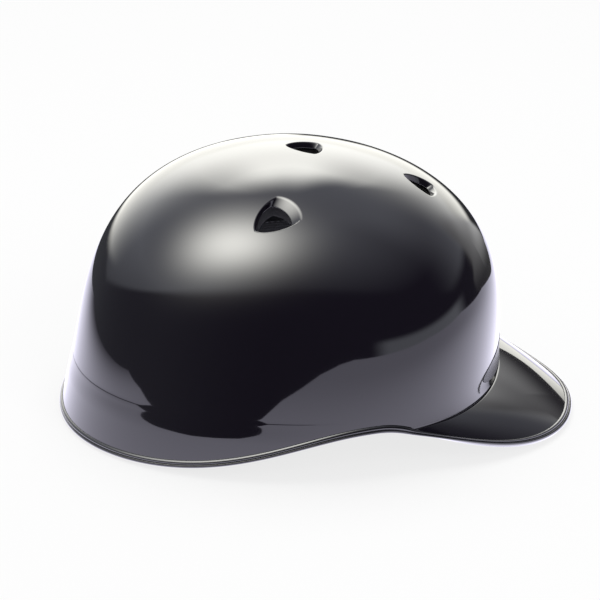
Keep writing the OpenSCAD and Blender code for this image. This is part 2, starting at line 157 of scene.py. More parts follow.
class HelmetFittings(bpy.types.PropertyGroup):
    """Sizes of the trim, the badge, the foam liners and the pads."""
    trim_cover: length("Trim cover", "How far the trim's legs cover the shell", 3.4)
    trim_thickness: length("Trim thickness", "Thickness of the trim's rubber", 1.15)
    trim_gap: length("Trim gap", "Gap between the trim and the shell", 0.12)
    badge_width: length("Badge width", "Width of the blank oval badge", 78)
    badge_height: length("Badge height", "Height of the blank oval badge", 13)
    badge_thickness: length("Badge thickness", "Height of the badge's face above its foot", 0.176)
    badge_gap: length("Badge gap", "Gap behind the badge, filled with adhesive", 0.1)
    badge_rise: length("Badge rise", "Height of the badge above the brim", 3.5)
    liner_gap: length("Liner gap", "Gap between the shell and the liner, filled with adhesive", 0.5)
    liner_thickness: length("Liner thickness", "Thickness of the foam liner", 10)
    liner_split: length("Liner split", "Height where the side liners meet the crown liner", 108)
    liner_joint: length("Liner joint", "Gap between neighbouring liners", 4)
    liner_foot: length("Liner foot", "Height of the liners' lower edge above the rim", 7)
    front_joint: angle("Front joint", "Angle where the front liner meets the side liners", 47)
    rear_joint: angle("Rear joint", "Angle where the side liners meet the rear liner", 131)
    vent_margin: length("Vent margin", "Margin round each vent where it passes through the liner", 1.5)
    patch_thickness: length("Patch thickness", "Thickness of a hook or loop patch", 1)
    patch_length: length("Patch length", "Length of a hook or loop patch", 34)
    patch_width: length("Patch width", "Width of a hook or loop patch", 16)
    pad_thickness: length("Pad thickness", "Thickness of a comfort pad at its middle", 8)
    pad_border: share("Pad border", "Share of its thickness that a pad keeps at its border", 0.35)
    pad_gap: length("Pad gap", "How far a pad stands clear of what it rests on", 0.25)
    pad_foot: length("Pad foot", "Height of the pads' lower edge above the liners' foot", 3)
    pad_top: length("Pad top", "Height of the upper edge of the brow and temple pads", 84)
    forehead_half: angle("Forehead half", "Angle that the forehead pad covers either side", 40)
    nape_half: angle("Nape half", "Angle that the nape pad covers either side", 36)
    temple_angle: angle("Temple angle", "Angle at the middle of each temple pad", 92)
    temple_half: angle("Temple half", "Angle that a temple pad covers either side", 32)
    side_crown_angle: angle("Side crown angle", "Angle at the middle of each side crown pad", 43)
    side_crown_half: angle("Side crown half", "Angle that a side crown pad covers either side", 29)
    rear_crown_half: angle("Rear crown half", "Angle that the rear crown pad covers either side", 50)
    crown_pad_near: share("Crown pad near", "Where the crown pads start, from the top to the rim", 0.22)
    crown_pad_far: share("Crown pad far", "Where the crown pads end, from the top to the rim", 0.78)
    stitch_pitch: length("Stitch pitch", "Distance between stitches", 3.2)
    stitch_length: length("Stitch length", "Length of a stitch", 2.3)
    seam_inset: share("Seam inset", "Where the border's seam lies, from a pad's middle to its border", 0.9)
    thread: length("Thread", "Thickness of the sewing thread", 0.6)


class HelmetColours(bpy.types.PropertyGroup):
    """Colours of the helmet's materials."""
    shell: colour("Shell", "Black moulded shell", "#110d17")
    trim: colour("Trim", "Vinyl of the edge trim", "#131117")
    badge: colour("Badge", "Blank badge", "#101116")
    foam: colour("Foam", "Foam of the liners", "#151517")
    tape: colour("Tape", "Hook and loop tape", "#1b1b1d")
    fabric: colour("Fabric", "Knitted cover of the pads", "#1d1e22")
    binding: colour("Binding", "Woven binding of the pads", "#111214")
    thread: colour("Thread", "Sewing thread", "#34363c")
    floor: colour("Floor", "Pale floor", "#f2f2f2")


class HelmetStudio(bpy.types.PropertyGroup):
    """The camera and the light."""
    camera_distance: length("Camera distance", "Distance from the camera to the helmet's origin", 1500)
    camera_azimuth: angle("Camera azimuth", "Angle of the camera forward of the helmet's side", 7)
    camera_height: angle("Camera height", "Angle of the camera above the floor", 25.63)
    camera_lens: length("Camera lens", "Focal length on a 36 mm sensor", 161.3)
    camera_right: share("Camera right", "Sideways shift of the picture", 0.039)
    camera_up: share("Camera up", "Upward shift of the picture", 0.1546)
    softbox: share("Softbox", "Brightness of the large softbox behind and above", 5.3)
    backdrop: share("Backdrop", "Brightness of the pale backdrop behind", 1.55)
    key: share("Key", "Brightness of the key light as the gloss shows it", 7.6)
    key_azimuth: angle("Key azimuth", "Angle of the key light off the camera's side", -63)
    key_height: angle("Key height", "Angle of the key light above the floor", 62.5)
    key_spread: angle("Key spread", "How widely the key light spreads", 14)
    ambient: share("Ambient", "Brightness of the room above the flag", 1.0)
    card: share("Card", "Brightness of the low white card on the right", 0.55)
    dark: share("Dark", "Brightness of the dark flag in front", 0.03)


def colours():
    """The colours of the helmet and the floor."""
    return bpy.context.scene.helmet_colours


def studio():
    """The values of the camera and the light."""
    return bpy.context.scene.helmet_studio


def smooth(x):
    """A soft step from 0 to 1."""
    c = np.clip(x, 0, 1)
    return c * c * (3 - 2 * c)


def rise(x, start, reach):
    """A soft step from 0 at the start to 1 a reach further on."""
    return smooth((x - start) / reach)


def fall(x, start, reach):
    """A soft step from 1 at the start to 0 a reach further on."""
    return 1 - rise(x, start, reach)


def turns(count):
    """Angles spread evenly round a full turn."""
    return np.linspace(0, 2 * math.pi, count, endpoint=False)


def mix(p, q, s):
    """The value a share s of the way from p to q."""
    return p + (q - p) * s


def unit(v):
    """Vectors at length 1."""
    return v / np.linalg.norm(v, axis=-1, keepdims=True)


def arc(centre, radii, start, end, count):
    """Points of an ellipse between two angles in degrees, both included."""
    turn = np.radians(np.linspace(start, end, count))
    return np.stack([centre[0] + radii[0] * np.cos(turn), centre[1] + radii[1] * np.sin(turn)], axis=-1)


def bend(start, corner, end, count):
    """A rounded corner: points of the parabola from start to end that heads for the corner."""
    start, corner, end = np.asarray(start), np.asarray(corner), np.asarray(end)
    t = np.linspace(0, 1, count)[:, None]
    return (1 - t) ** 2 * start + 2 * t * (1 - t) * corner + t * t * end


class Skin:
    """The helmet's skin as formulas. An angle is taken off the front, a height off the crown's foot."""

    def __init__(self):
        scene = bpy.context.scene
        self.shape, self.fittings = scene.helmet_shape, scene.helmet_fittings
        self.stand = np.zeros(3)
        self.stand = np.array([0, 0, -self.trim_rows(turns(COLUMNS))[..., 2].min()])

    def off_front(self, a):
        """The angle off the front, whichever the side."""
        return np.abs((a + math.pi) % (2 * math.pi) - math.pi)

    def fullness(self, a):
        """Squareness of the crown's outline at an angle."""
        return 1 / (np.cos(a) ** 2 / self.shape.side_fullness + np.sin(a) ** 2 / self.shape.front_fullness)

    def height_at(self, a, out):
        """Height of the crown a share of the way out from its middle."""
        return self.shape.crown_height * np.maximum(0, 1 - out * out) ** (1 / self.fullness(a))

    def out_at(self, a, z):
        """Share of the way out from the crown's middle at a height."""
        t = np.clip(z / self.shape.crown_height, 0, 1)
        return np.sqrt(np.maximum(0, 1 - t ** self.fullness(a)))

    def crown(self, a, z, grow=0.0):
        """A point of the plain crown, grown sideways."""
        s = self.shape
        t = np.clip(z / s.crown_height, 0, 1)
        out = self.out_at(a, z)
        k = out * (1 + s.plan_square * out ** 4 * (1 - np.cos(4 * a)))
        lean = s.top_lean * t + 4 * s.brow_bulge * t * (1 - t)
        half_length = s.crown_length / 2 * (1 - s.crown_taper * t) + grow
        peak = s.crown_peak * np.maximum(0, 1 - (out / s.peak_reach) ** 2) ** 2
        return np.stack([(s.crown_width / 2 + grow) * k * np.sin(a),
                         -lean - half_length * k * np.cos(a), z + peak + 0 * a], axis=-1) + self.stand

    def normal(self, a, z):
        """The crown's outward direction."""
        turn = 0.002
        climb = np.minimum(0.1 * MM, (self.shape.crown_height - z) / 3)
        return unit(np.cross(self.crown(a + turn, z) - self.crown(a - turn, z),
                             self.crown(a, z + climb) - self.crown(a, z - climb)))

    def under(self, a, z, depth):
        """A point at a depth under the plain crown."""
        return self.crown(a, z) - np.asarray(depth)[..., None] * self.normal(a, z)

    def plan_of(self, a, z):
        """The crown's point seen in plan: its direction times its share of the way out."""
        out = self.out_at(a, z)
        return np.stack([out * np.sin(a), -out * np.cos(a)], axis=-1)

    def at(self, plan):
        """The crown's point above a place in plan."""
        out = np.linalg.norm(plan, axis=-1)
        a = np.arctan2(plan[..., 0], -plan[..., 1])
        return self.crown(a, self.height_at(a, out))

    def normal_at(self, plan):
        """The crown's outward direction above a place in plan."""
        step = 1e-4
        x, y = np.array([step, 0]), np.array([0, step])
        return unit(np.cross(self.at(plan + x) - self.at(plan - x), self.at(plan + y) - self.at(plan - y)))

    def under_at(self, plan, depth):
        """A point at a depth under the crown, given in plan."""
        return self.at(plan) - depth * self.normal_at(plan)

    def rim(self, a):
        """Height of the shell's edge."""
        s = self.shape
        f = self.off_front(a)
        half = np.where(f < s.ear_angle, s.ear_front, s.ear_rear)
        return (s.ear_rise * np.exp(-((f - s.ear_angle) / half) ** 2)
                + s.brim_lift * np.maximum(0, 1 - (f / s.ear_angle) ** 2) ** 2)

    def foot(self, a):
        """Height of the foot of the crown, just above the edge or above the brim."""
        s = self.shape
        brow = s.brow_height * fall(self.off_front(a), s.ear_angle, s.fade)
        return np.maximum(self.rim(a) + s.flank, brow)

    def brim_share(self, a):
        """How much of the brim's reach is left at an angle."""
        s = self.shape
        g = 1 - (self.off_front(a) / s.brim_angle) ** s.brim_round
        return (g + np.sqrt(g * g + s.brim_blend ** 2)) / 2

    def band(self, a, z):
        """How far the neck band stands proud."""
        s = self.shape
        step = fall(z, s.crease_height - s.crease_half, 2 * s.crease_half)
        flare = fall(z, s.crease_height - s.band_flare, s.band_flare)
        start = rise(self.off_front(a), s.band_start, s.fade)
        return s.band_step * mix(flare, step, s.crease_share) * start

    def brow_flare(self, a, z):
        """How far the crown flares out toward the brow lip."""
        s = self.shape
        above = np.maximum(0, z - self.foot(a) - s.lip_roll - s.lip_foot)
        return s.brow_lip * np.exp(-above / s.lip_fade) * self.lip_share(a)

    def lip_share(self, a):
        """How much of the brow lip is left at an angle."""
        return fall(self.off_front(a), self.shape.ear_angle - self.shape.fade, self.shape.fade)

    def brim(self, a, s, lip=1.0):
        """A point between the foot of the crown, 0, and the shell's edge, 1."""
        size = self.shape
        spread = self.brim_share(a)
        z = mix(self.foot(a), self.rim(a), s + size.brim_arch * spread * (s * s - s))
        proud = self.band(a, z) + lip * (1 - s) * size.brow_lip * self.lip_share(a)
        out = self.crown(a, z, proud)
        out[..., 1] -= size.brim_reach * spread * s
        return out

    def trim_rows(self, a):
        """The trim's section swept along the shell's edge, as rows of points that run round the helmet.
        The section is a bead, a groove, a round nose over the shell's edge, and a leg under it."""
        f, wall = self.fittings, self.shape.wall
        thick, gap = f.trim_thickness, f.trim_gap
        bead, nose, shoulder = 1.25 * MM, 1.3 * MM, 0.6 * MM
        toe_wide, toe_half = 0.6 * MM, 0.38 * MM
        leg = f.trim_cover - 0.9 * MM
        turn = arc((0, 0), (1, 1), 0, 150, 15)
        section = np.concatenate([
            (f.trim_cover - bead, gap) + (bead, thick - gap) * np.abs(turn) ** 1.4 * np.sign(turn),
            [[f.trim_cover - 2.05 * bead, thick * 0.3]],
            arc((nose - thick, -shoulder), (nose, shoulder + thick * 0.82), 58, 180, 11),
            arc((nose - thick, -wall * 0.8), (nose, wall * 0.2 + thick * 0.9), 180, 270, 7),
            arc((leg, -wall - gap - toe_half), (toe_wide, toe_half), -90, 90, 7),
            [[-gap, -wall - gap], [-gap, gap]]])
        edge_line, inner_line = self.brim(a, np.float64(1)), self.brim(a, np.float64(0.97))
        along = np.roll(edge_line, -1, axis=0) - np.roll(edge_line, 1, axis=0)
        out = unit(np.cross(along, inner_line - edge_line))
        into = unit(inner_line - edge_line - out * ((inner_line - edge_line) * out).sum(-1, keepdims=True))
        return edge_line + section[:, None, :1] * into + section[:, None, 1:] * out

    def vents(self):
        """Each vent's place in plan, centre, two axes, length, width and slope at its blunt end."""
        s = self.shape
        middle = s.mid_vent_length, s.mid_vent_width, s.mid_vent_slope
        side = s.side_vent_length, s.side_vent_width, s.vent_slope
        for a, out, turn, (long, wide, slope) in (
                (0, s.front_vent_place, 0, middle), (0, s.top_vent_place, 0, middle),
                (s.side_vent_angle, s.side_vent_place, s.side_vent_turn, side),
                (-s.side_vent_angle, s.side_vent_place, -s.side_vent_turn, side)):
            plan = out * np.array([math.sin(a), -math.cos(a)])
            n = self.normal_at(plan)
            across = unit(np.cross([0, 0, 1], n))
            x = np.cross(n, across) * math.cos(turn) + across * math.sin(turn)
            yield plan, self.at(plan), x, np.cross(n, x), long, wide, slope

    def vent_loop(self, vent, end_in, side_in, depth):
        """Places in plan of one turn round a vent's wall, drawn in at its blunt end and its sides."""
        start, centre, x, y, long, wide, _ = vent
        point = self.shape.vent_point
        a = turns(VENT_COLUMNS)
        reach, turn = 1 + point * np.cos(3 * a), -3 * point * np.sin(3 * a)
        target = np.stack([
            (long - end_in - side_in) / 2 * (reach * np.cos(a) - turn * np.sin(a) - point)
            + (end_in - side_in) / 2,
            (wide / 2 - side_in) * (reach * np.sin(a) + turn * np.cos(a))], axis=-1)
        axes = np.stack([x, y], axis=-1)
        half = np.array([self.shape.crown_width, self.shape.crown_length]) / 2
        plan = start + (target @ axes.T)[:, :2] / half
        # The first guess is mended until the points under it lie where they are wanted
        step = 1e-5
        for _ in range(6):
            here = (self.under_at(plan, depth) - centre) @ axes
            slopes = [((self.under_at(plan + d, depth) - centre) @ axes - here) / step
                      for d in (np.array([step, 0]), np.array([0, step]))]
            plan = plan + np.linalg.solve(np.stack(slopes, axis=-1), (target - here)[..., None])[..., 0]
        return plan


class Builder:
    """Collects the points and faces of one mesh. Faces are listed with their points counterclockwise."""

    def __init__(self):
        self.points, self.faces, self.count = [], [], 0

    def add(self, points):
        """Adds points, and returns their numbers in the same arrangement."""
        points = np.asarray(points, float)
        numbers = np.arange(self.count, self.count + points[..., 0].size).reshape(points.shape[:-1])
        self.points.append(points.reshape(-1, 3))
        self.count += points[..., 0].size
        return numbers

    def quads(self, rows, closed=True):
        """Joins rows of numbers, from the top down and running to the right as seen from outside."""
        rows = np.asarray(rows)
        left, right = (rows, np.roll(rows, -1, axis=1)) if closed else (rows[:, :-1], rows[:, 1:])
        faces = np.stack([left[:-1], left[1:], right[1:], right[:-1]], axis=-1)
        self.faces += faces.reshape(-1, 4).tolist()

    def fan(self, pole, row):
        """Closes a row of numbers with one point above it."""
        self.faces += np.stack([np.full_like(row, pole), row, np.roll(row, -1)], axis=-1).tolist()

    def box(self, lattice):
        """The outside of a block, given as layers from the outside inward, each with rows and columns."""
        lattice = np.asarray(lattice)
        layers, rows, columns = lattice.shape[:3]
        inner = np.zeros((layers, rows, columns), bool)
        inner[1:-1, 1:-1, 1:-1] = True
        numbers = np.full(inner.shape, -1)
        numbers[~inner] = self.add(lattice[~inner])
        for side in (numbers[0], numbers[-1, ::-1], numbers[::-1, 0], numbers[:, -1],
                     numbers[::-1, :, 0].T, numbers[:, :, -1].T):
            self.quads(side, closed=False)
        return numbers

    def mesh(self, name):
        """The mesh of all that was added."""
        made = bpy.data.meshes.new(name)
        made.from_pydata(np.concatenate(self.points).tolist(), [], self.faces)
        made.validate()
        made.shade_smooth()
        return made


def inside(points, loop):
    """Which points lie inside a closed loop."""
    p, q = loop, np.roll(loop, -1, axis=0)
    x, y = points[:, None, 0], points[:, None, 1]
    crosses = (p[:, 1] > y) != (q[:, 1] > y)
    climb = np.where(q[:, 1] == p[:, 1], 1, q[:, 1] - p[:, 1])
    return (crosses & (x < p[:, 0] + (y - p[:, 1]) / climb * (q[:, 0] - p[:, 0]))).sum(1) % 2 == 1


def pierced_cap(skin, low, columns, rows, holes):
    """The crown above a height in plan, as triangles that leave the holes open.
    Each hole is a list of loops from its edge outward. Points: the rim, then the loops, then the rest."""
    top, margin, apart = skin.shape.crown_height, 1.05, 1e-7
    rings = []
    for i in range(rows, 0, -1):
        count = columns if i == rows else max(6, round(columns * i / rows))
        a = 2 * math.pi * (np.arange(count) + 0.5 * ((rows - i) % 2)) / count
        rings.append(skin.plan_of(a, np.full(count, top - (top - low) * (i / rows) ** 2)))
    free = np.concatenate(rings[1:] + [np.zeros((1, 2))])
    for hole in holes:
        middle = hole[-1].mean(0)
        free = free[~inside(free, middle + (hole[-1] - middle) * margin)]
    loops = [rings[0]] + [loop for hole in holes for loop in hole]
    starts = np.cumsum([0] + [len(loop) for loop in loops])
    edges = [(start + k, start + (k + 1) % len(loop))
             for start, loop in zip(starts, loops) for k in range(len(loop))]
    points = np.concatenate(loops + [free])
    found, _, faces, sources, *_ = delaunay_2d_cdt([Vector(p) for p in points], edges, [], 0, apart)
    if len(found) != len(points):
        raise RuntimeError("the crown's points fell together")
    faces = np.array([source[0] for source in sources])[np.array(faces)]
    owner = np.full(len(points), -1)
    edge_numbers = []
    first = 1
    for number, hole in enumerate(holes):
        edge_numbers.append(np.arange(starts[first], starts[first + 1]))
        owner[edge_numbers[-1]] = number
        first += len(hole)
    owners = owner[faces]
    faces = faces[~((owners[:, 0] >= 0) & (owners == owners[:, :1]).all(1))]
    a, b, c = points[faces[:, 0]], points[faces[:, 1]], points[faces[:, 2]]
    turn = (b - a)[:, 0] * (c - a)[:, 1] - (b - a)[:, 1] * (c - a)[:, 0]
    faces[turn < 0] = faces[turn < 0][:, ::-1]
    return points, faces, np.arange(columns), edge_numbers


def vented_dome(builder, skin, low, depths, section_of, columns, rows, clear):
    """Adds the crown above a height, between two depths, with its vents cut through. A vent's section is
    made from the slope at its blunt end: rows of how far the wall is drawn in at that end and at the
    sides, and how deep. Returns both rims, and the numbers and directions of both skins' points."""
    vents = list(skin.vents())
    sections = [section_of(vent[-1]) for vent in vents]
    walls = [[skin.vent_loop(vent, *row) for row in section] for vent, section in zip(vents, sections)]
    rims, edges, skins = [], [], []
    for side, depth in enumerate(depths):
        holes = [[wall[-side]] + [skin.vent_loop(vent, *(section[-side][:2] - more), depth)
                                  for more in clear]
                 for wall, vent, section in zip(walls, vents, sections)]
        plan, faces, rim, hole_edges = pierced_cap(skin, low, columns, rows, holes)
        numbers = builder.add(skin.under_at(plan, depth))
        faces = faces[:, ::-1] if side else faces
        builder.faces += numbers[faces].tolist()
        rims.append(numbers[rim])
        edges.append([numbers[e] for e in hole_edges])
        skins.append((numbers, skin.normal_at(plan) * (-1 if side else 1)))
    for wall, section, outer, inner in zip(walls, sections, *edges):
        middle = [builder.add(skin.under_at(plan, depth))
                  for plan, (_, _, depth) in zip(wall[1:-1], section[1:-1])]
        builder.quads(np.array([outer, *middle, inner])[:, ::-1])
    return rims, skins


def node(tree, kind, inputs=None, **settings):
    """Adds a node. Its settings are attributes; its inputs are values or other nodes' sockets."""
    made = tree.nodes.new(kind)
    for key, value in settings.items():
        setattr(made, key, value)
    for key, value in (inputs or {}).items():
        if isinstance(value, bpy.types.NodeSocket):
            tree.links.new(value, made.inputs[key])
        else:
            made.inputs[key].default_value = value
    return made


def new_material(name):
    """An empty node material and its tree."""
    made = bpy.data.materials.new(name)
    made.use_nodes = True
    made.node_tree.nodes.clear()
    return made, made.node_tree


def rgba(value, brightness=1.0):
    """A colour for a node, darker or lighter than given."""
    return (*(c * brightness for c in value), 1.0)


def gloss(base, coat_rough):
    """Inputs of a dark body under a clear hard gloss."""
    return {"Base Color": rgba(base), "IOR": 1.54, "Coat Weight": 1.0, "Coat Roughness": coat_rough,
            "Coat IOR": 1.5}


def polished_abs(base):
    """ABS from a polished mould: a black body under a hard gloss that shows the room sharply."""
    material, tree = new_material("polished_black_abs")
    place = node(tree, "ShaderNodeTexCoord").outputs["Object"]
    # The mould's polish varies over about 33 mm, and its face waves a little over about 71 mm
    cloud, wave = 33.3 * MM, 71.4 * MM
    haze = node(tree, "ShaderNodeTexNoise", {"Vector": place, "Scale": 1 / cloud, "Detail": 3.0})
    rough = node(tree, "ShaderNodeMapRange", {"Value": haze.outputs["Fac"], "To Min": 0.045,
                                             "To Max": 0.075})
    ripple = node(tree, "ShaderNodeTexNoise", {"Vector": place, "Scale": 1 / wave, "Detail": 1.0})
    bump = node(tree, "ShaderNodeBump", {"Height": ripple.outputs["Fac"], "Strength": 0.05,
                                        "Distance": 0.02 * MM})
    surface = node(tree, "ShaderNodeBsdfPrincipled", {
        **gloss(base, 0.03), "Roughness": rough.outputs[0], "Normal": bump.outputs[0]})
    node(tree, "ShaderNodeOutputMaterial", {"Surface": surface.outputs[0]})
    return material


def satin_plastic(base):
    """Moulded plastic with an even satin face that blurs the room."""
    material, tree = new_material("satin_badge_plastic")
    place = node(tree, "ShaderNodeTexCoord").outputs["Object"]
    # The satin varies over about 17 mm
    cloud = 16.7 * MM
    haze = node(tree, "ShaderNodeTexNoise", {"Vector": place, "Scale": 1 / cloud, "Detail": 2.0})
    rough = node(tree, "ShaderNodeMapRange", {"Value": haze.outputs["Fac"], "To Min": 0.24,
                                             "To Max": 0.30})
    surface = node(tree, "ShaderNodeBsdfPrincipled", {
        "Base Color": rgba(base), "Roughness": rough.outputs[0], "IOR": 1.7})
    node(tree, "ShaderNodeOutputMaterial", {"Surface": surface.outputs[0]})
    return material


def extruded_vinyl(base):
    """Extruded vinyl: glossy, with a faint grain."""
    material, tree = new_material("extruded_vinyl")
    place = node(tree, "ShaderNodeTexCoord").outputs["Object"]
    # The real grain of about 0.2 mm is too fine for the picture, so it is drawn coarser
    speck = 1.11 * MM
    grain = node(tree, "ShaderNodeTexNoise", {"Vector": place, "Scale": 1 / speck, "Detail": 4.0})
    rough = node(tree, "ShaderNodeMapRange", {"Value": grain.outputs["Fac"], "To Min": 0.1,
                                             "To Max": 0.16})
    bump = node(tree, "ShaderNodeBump", {"Height": grain.outputs["Fac"], "Strength": 0.1,
                                        "Distance": 0.02 * MM})
    surface = node(tree, "ShaderNodeBsdfPrincipled", {
        **gloss(base, 0.08), "Roughness": rough.outputs[0], "Normal": bump.outputs[0]})
    node(tree, "ShaderNodeOutputMaterial", {"Surface": surface.outputs[0]})
    return material


def bead_foam(base):
    """Moulded bead foam: dull, with the outlines of its beads pressed flat against the mould."""
    material, tree = new_material("moulded_bead_foam")
    place = node(tree, "ShaderNodeTexCoord").outputs["Object"]
    # Real beads are about 3.2 mm wide. Their skin's grain of about 0.3 mm is drawn coarser.
    bead, speck = 3.2 * MM, 0.833 * MM
    beads = node(tree, "ShaderNodeTexVoronoi", {"Vector": place, "Scale": 1 / bead},
                 feature="DISTANCE_TO_EDGE")
    seam = node(tree, "ShaderNodeMapRange", {"Value": beads.outputs["Distance"], "From Max": 0.12})
    grain = node(tree, "ShaderNodeTexNoise", {"Vector": place, "Scale": 1 / speck, "Detail": 3.0})
    height = node(tree, "ShaderNodeMath", {0: seam.outputs[0], 1: grain.outputs["Fac"]}, operation="ADD")
    bump = node(tree, "ShaderNodeBump", {"Height": height.outputs[0], "Strength": 0.5,
                                        "Distance": 0.15 * MM})
    # Painted shade: the sunken outlines between the beads are drawn darker
    tint = node(tree, "ShaderNodeMix", {"Factor": seam.outputs[0], 6: rgba(base, 0.6), 7: rgba(base)},
                data_type="RGBA")
    surface = node(tree, "ShaderNodeBsdfPrincipled", {
        "Base Color": tint.outputs[2], "Roughness": 0.8, "IOR": 1.45, "Normal": bump.outputs[0]})
    node(tree, "ShaderNodeOutputMaterial", {"Surface": surface.outputs[0]})
    return material


def woven_tape(base, name, pitch, strength):
    """Woven nylon tape with a fine raised pile of hooks, loops or ribs."""
    material, tree = new_material(name)
    place = node(tree, "ShaderNodeTexCoord").outputs["Object"]
    # Real hooks stand about 0.9 mm apart. Loops and ribs of about 0.3 mm are drawn coarser.
    pile = node(tree, "ShaderNodeTexVoronoi", {"Vector": place, "Scale": 1 / pitch}).outputs["Distance"]
    bump = node(tree, "ShaderNodeBump", {"Height": pile, "Strength": strength, "Distance": 0.3 * MM},
                invert=True)
    # Painted highlight and shade: the pile's raised tips are drawn lighter, the hollows between them
    # darker
    tint = node(tree, "ShaderNodeMix", {"Factor": pile, 6: rgba(base, 1.5), 7: rgba(base, 0.5)},
                data_type="RGBA")
    surface = node(tree, "ShaderNodeBsdfPrincipled", {
        "Base Color": tint.outputs[2], "Roughness": 0.7, "Sheen Weight": 0.3, "Sheen Roughness": 0.4,
        "Normal": bump.outputs[0]})
    node(tree, "ShaderNodeOutputMaterial", {"Surface": surface.outputs[0]})
    return material


def knitted_fabric(base):
    """Knitted polyester mesh: rows of small open stitches with a soft sheen at grazing angles."""
    material, tree = new_material("knitted_polyester_mesh")
    cloth = node(tree, "ShaderNodeAttribute", attribute_name=CLOTH).outputs["Vector"]
    # Real openings lie about 1.2 mm apart, and fibres are far finer, so both are drawn coarser
    opening, fibre = 1.6 * MM, 0.4 * MM
    cells = node(tree, "ShaderNodeTexVoronoi", {"Vector": cloth, "Scale": 1 / opening, "Randomness": 0.15},
                 voronoi_dimensions="2D")
    hole = node(tree, "ShaderNodeMapRange", {"Value": cells.outputs["Distance"], "From Min": 0.18,
                                            "From Max": 0.42}).outputs[0]
    fuzz = node(tree, "ShaderNodeTexNoise", {"Vector": cloth, "Scale": 1 / fibre, "Detail": 4.0})
    height = node(tree, "ShaderNodeMath", {0: fuzz.outputs["Fac"], 1: 0.4, 2: hole},
                  operation="MULTIPLY_ADD")
    bump = node(tree, "ShaderNodeBump", {"Height": height.outputs[0], "Strength": 0.7,
                                        "Distance": 0.3 * MM})
    # Painted shade: the sunken openings between the stitches are drawn at a quarter of the fabric's
    # brightness
    tint = node(tree, "ShaderNodeMix", {"Factor": hole, 6: rgba(base, 0.25), 7: rgba(base)},
                data_type="RGBA")
    surface = node(tree, "ShaderNodeBsdfPrincipled", {
        "Base Color": tint.outputs[2], "Roughness": 0.85, "Sheen Weight": 0.4, "Sheen Roughness": 0.35,
        "Normal": bump.outputs[0]})
    node(tree, "ShaderNodeOutputMaterial", {"Surface": surface.outputs[0]})
    return material


def polyester_thread(base):
    """Bonded polyester sewing thread: a soft sheen over its fine twist."""
    material, tree = new_material("polyester_thread")
    place = node(tree, "ShaderNodeTexCoord").outputs["Object"]
    # The strands of such a thread cross about every 0.29 mm
    strand = 0.286 * MM
    twist = node(tree, "ShaderNodeTexNoise", {"Vector": place, "Scale": 1 / strand, "Detail": 2.0})
    bump = node(tree, "ShaderNodeBump", {"Height": twist.outputs["Fac"], "Strength": 0.4,
                                        "Distance": 0.05 * MM})
    surface = node(tree, "ShaderNodeBsdfPrincipled", {
        "Base Color": rgba(base), "Roughness": 0.5, "Sheen Weight": 0.3, "Normal": bump.outputs[0]})
    node(tree, "ShaderNodeOutputMaterial", {"Surface": surface.outputs[0]})
    return material


def stitch_tool():
    """A node group that lays stitches end to end along the lines it is given."""
    tree = bpy.data.node_groups.new("Stitches", "GeometryNodeTree")
    tree.interface.new_socket("Geometry", in_out="OUTPUT", socket_type="NodeSocketGeometry")
    for name, kind, text in (("Geometry", "NodeSocketGeometry", "The seams' lines"),
                             ("Pitch", "NodeSocketFloat", "Distance between stitches"),
                             ("Length", "NodeSocketFloat", "Length of a stitch"),
                             ("Thread", "NodeSocketFloat", "Thickness of the thread"),
                             ("Material", "NodeSocketMaterial", "Material of the thread")):
        socket = tree.interface.new_socket(name, in_out="INPUT", socket_type=kind, description=text)
        if kind == "NodeSocketFloat":
            socket.subtype, socket.min_value, socket.default_value = "DISTANCE", 0.1 * MM, MM
    given = node(tree, "NodeGroupInput").outputs
    line = node(tree, "GeometryNodeMeshToCurve", {"Mesh": given["Geometry"]})
    line = node(tree, "GeometryNodeResampleCurve", {"Curve": line.outputs[0], "Length": given["Pitch"]},
                mode="LENGTH")
    turn = node(tree, "FunctionNodeAlignRotationToVector",
                {"Vector": node(tree, "GeometryNodeInputTangent").outputs[0]}, axis="Z")
    size = node(tree, "ShaderNodeCombineXYZ", {
        "X": given["Thread"], "Y": given["Thread"], "Z": given["Length"]})
    bead = node(tree, "GeometryNodeMeshUVSphere", {"Segments": 8, "Rings": 6, "Radius": 0.5})
    laid = node(tree, "GeometryNodeInstanceOnPoints", {
        "Points": line.outputs[0], "Instance": bead.outputs["Mesh"], "Rotation": turn.outputs[0],
        "Scale": size.outputs[0]})
    laid = node(tree, "GeometryNodeRealizeInstances", {"Geometry": laid.outputs[0]})
    laid = node(tree, "GeometryNodeSetShadeSmooth", {"Geometry": laid.outputs[0]})
    laid = node(tree, "GeometryNodeSetMaterial", {
        "Geometry": laid.outputs[0], "Material": given["Material"]})
    node(tree, "NodeGroupOutput", {0: laid.outputs[0]})
    return tree


def sewn(name, points, edges, tool, values):
    """The mesh that a node group makes from lines, with its named inputs set."""
    drawn = bpy.data.meshes.new(name)
    drawn.from_pydata(points, edges, [])
    path = bpy.data.objects.new(name, drawn)
    bpy.context.scene.collection.objects.link(path)
    modifier = path.modifiers.new("Stitches", "NODES")
    modifier.node_group = tool
    for item in tool.interface.items_tree:
        if item.in_out == "INPUT" and item.name in values:
            modifier[item.identifier] = values[item.name]
    made = bpy.data.meshes.new_from_object(path.evaluated_get(bpy.context.evaluated_depsgraph_get()))
    bpy.data.objects.remove(path)
    bpy.data.meshes.remove(drawn)
    return made


def add_piece(name, mesh, material, slot, *nodes):
    """Shows a mesh as a piece of the helmet that stands for CAD nodes."""
    piece = bpy.data.objects.new(name, mesh)
    bpy.context.scene.collection.objects.link(piece)
    if not mesh.materials:
        mesh.materials.append(material)
    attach(piece, "root")
    if nodes:
        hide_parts(*nodes)
    return piece


def subdivide(piece, levels):
    """Rounds a piece with a subdivision surface."""
    modifier = piece.modifiers.new("Rounding", "SUBSURF")
    modifier.levels = modifier.render_levels = levels


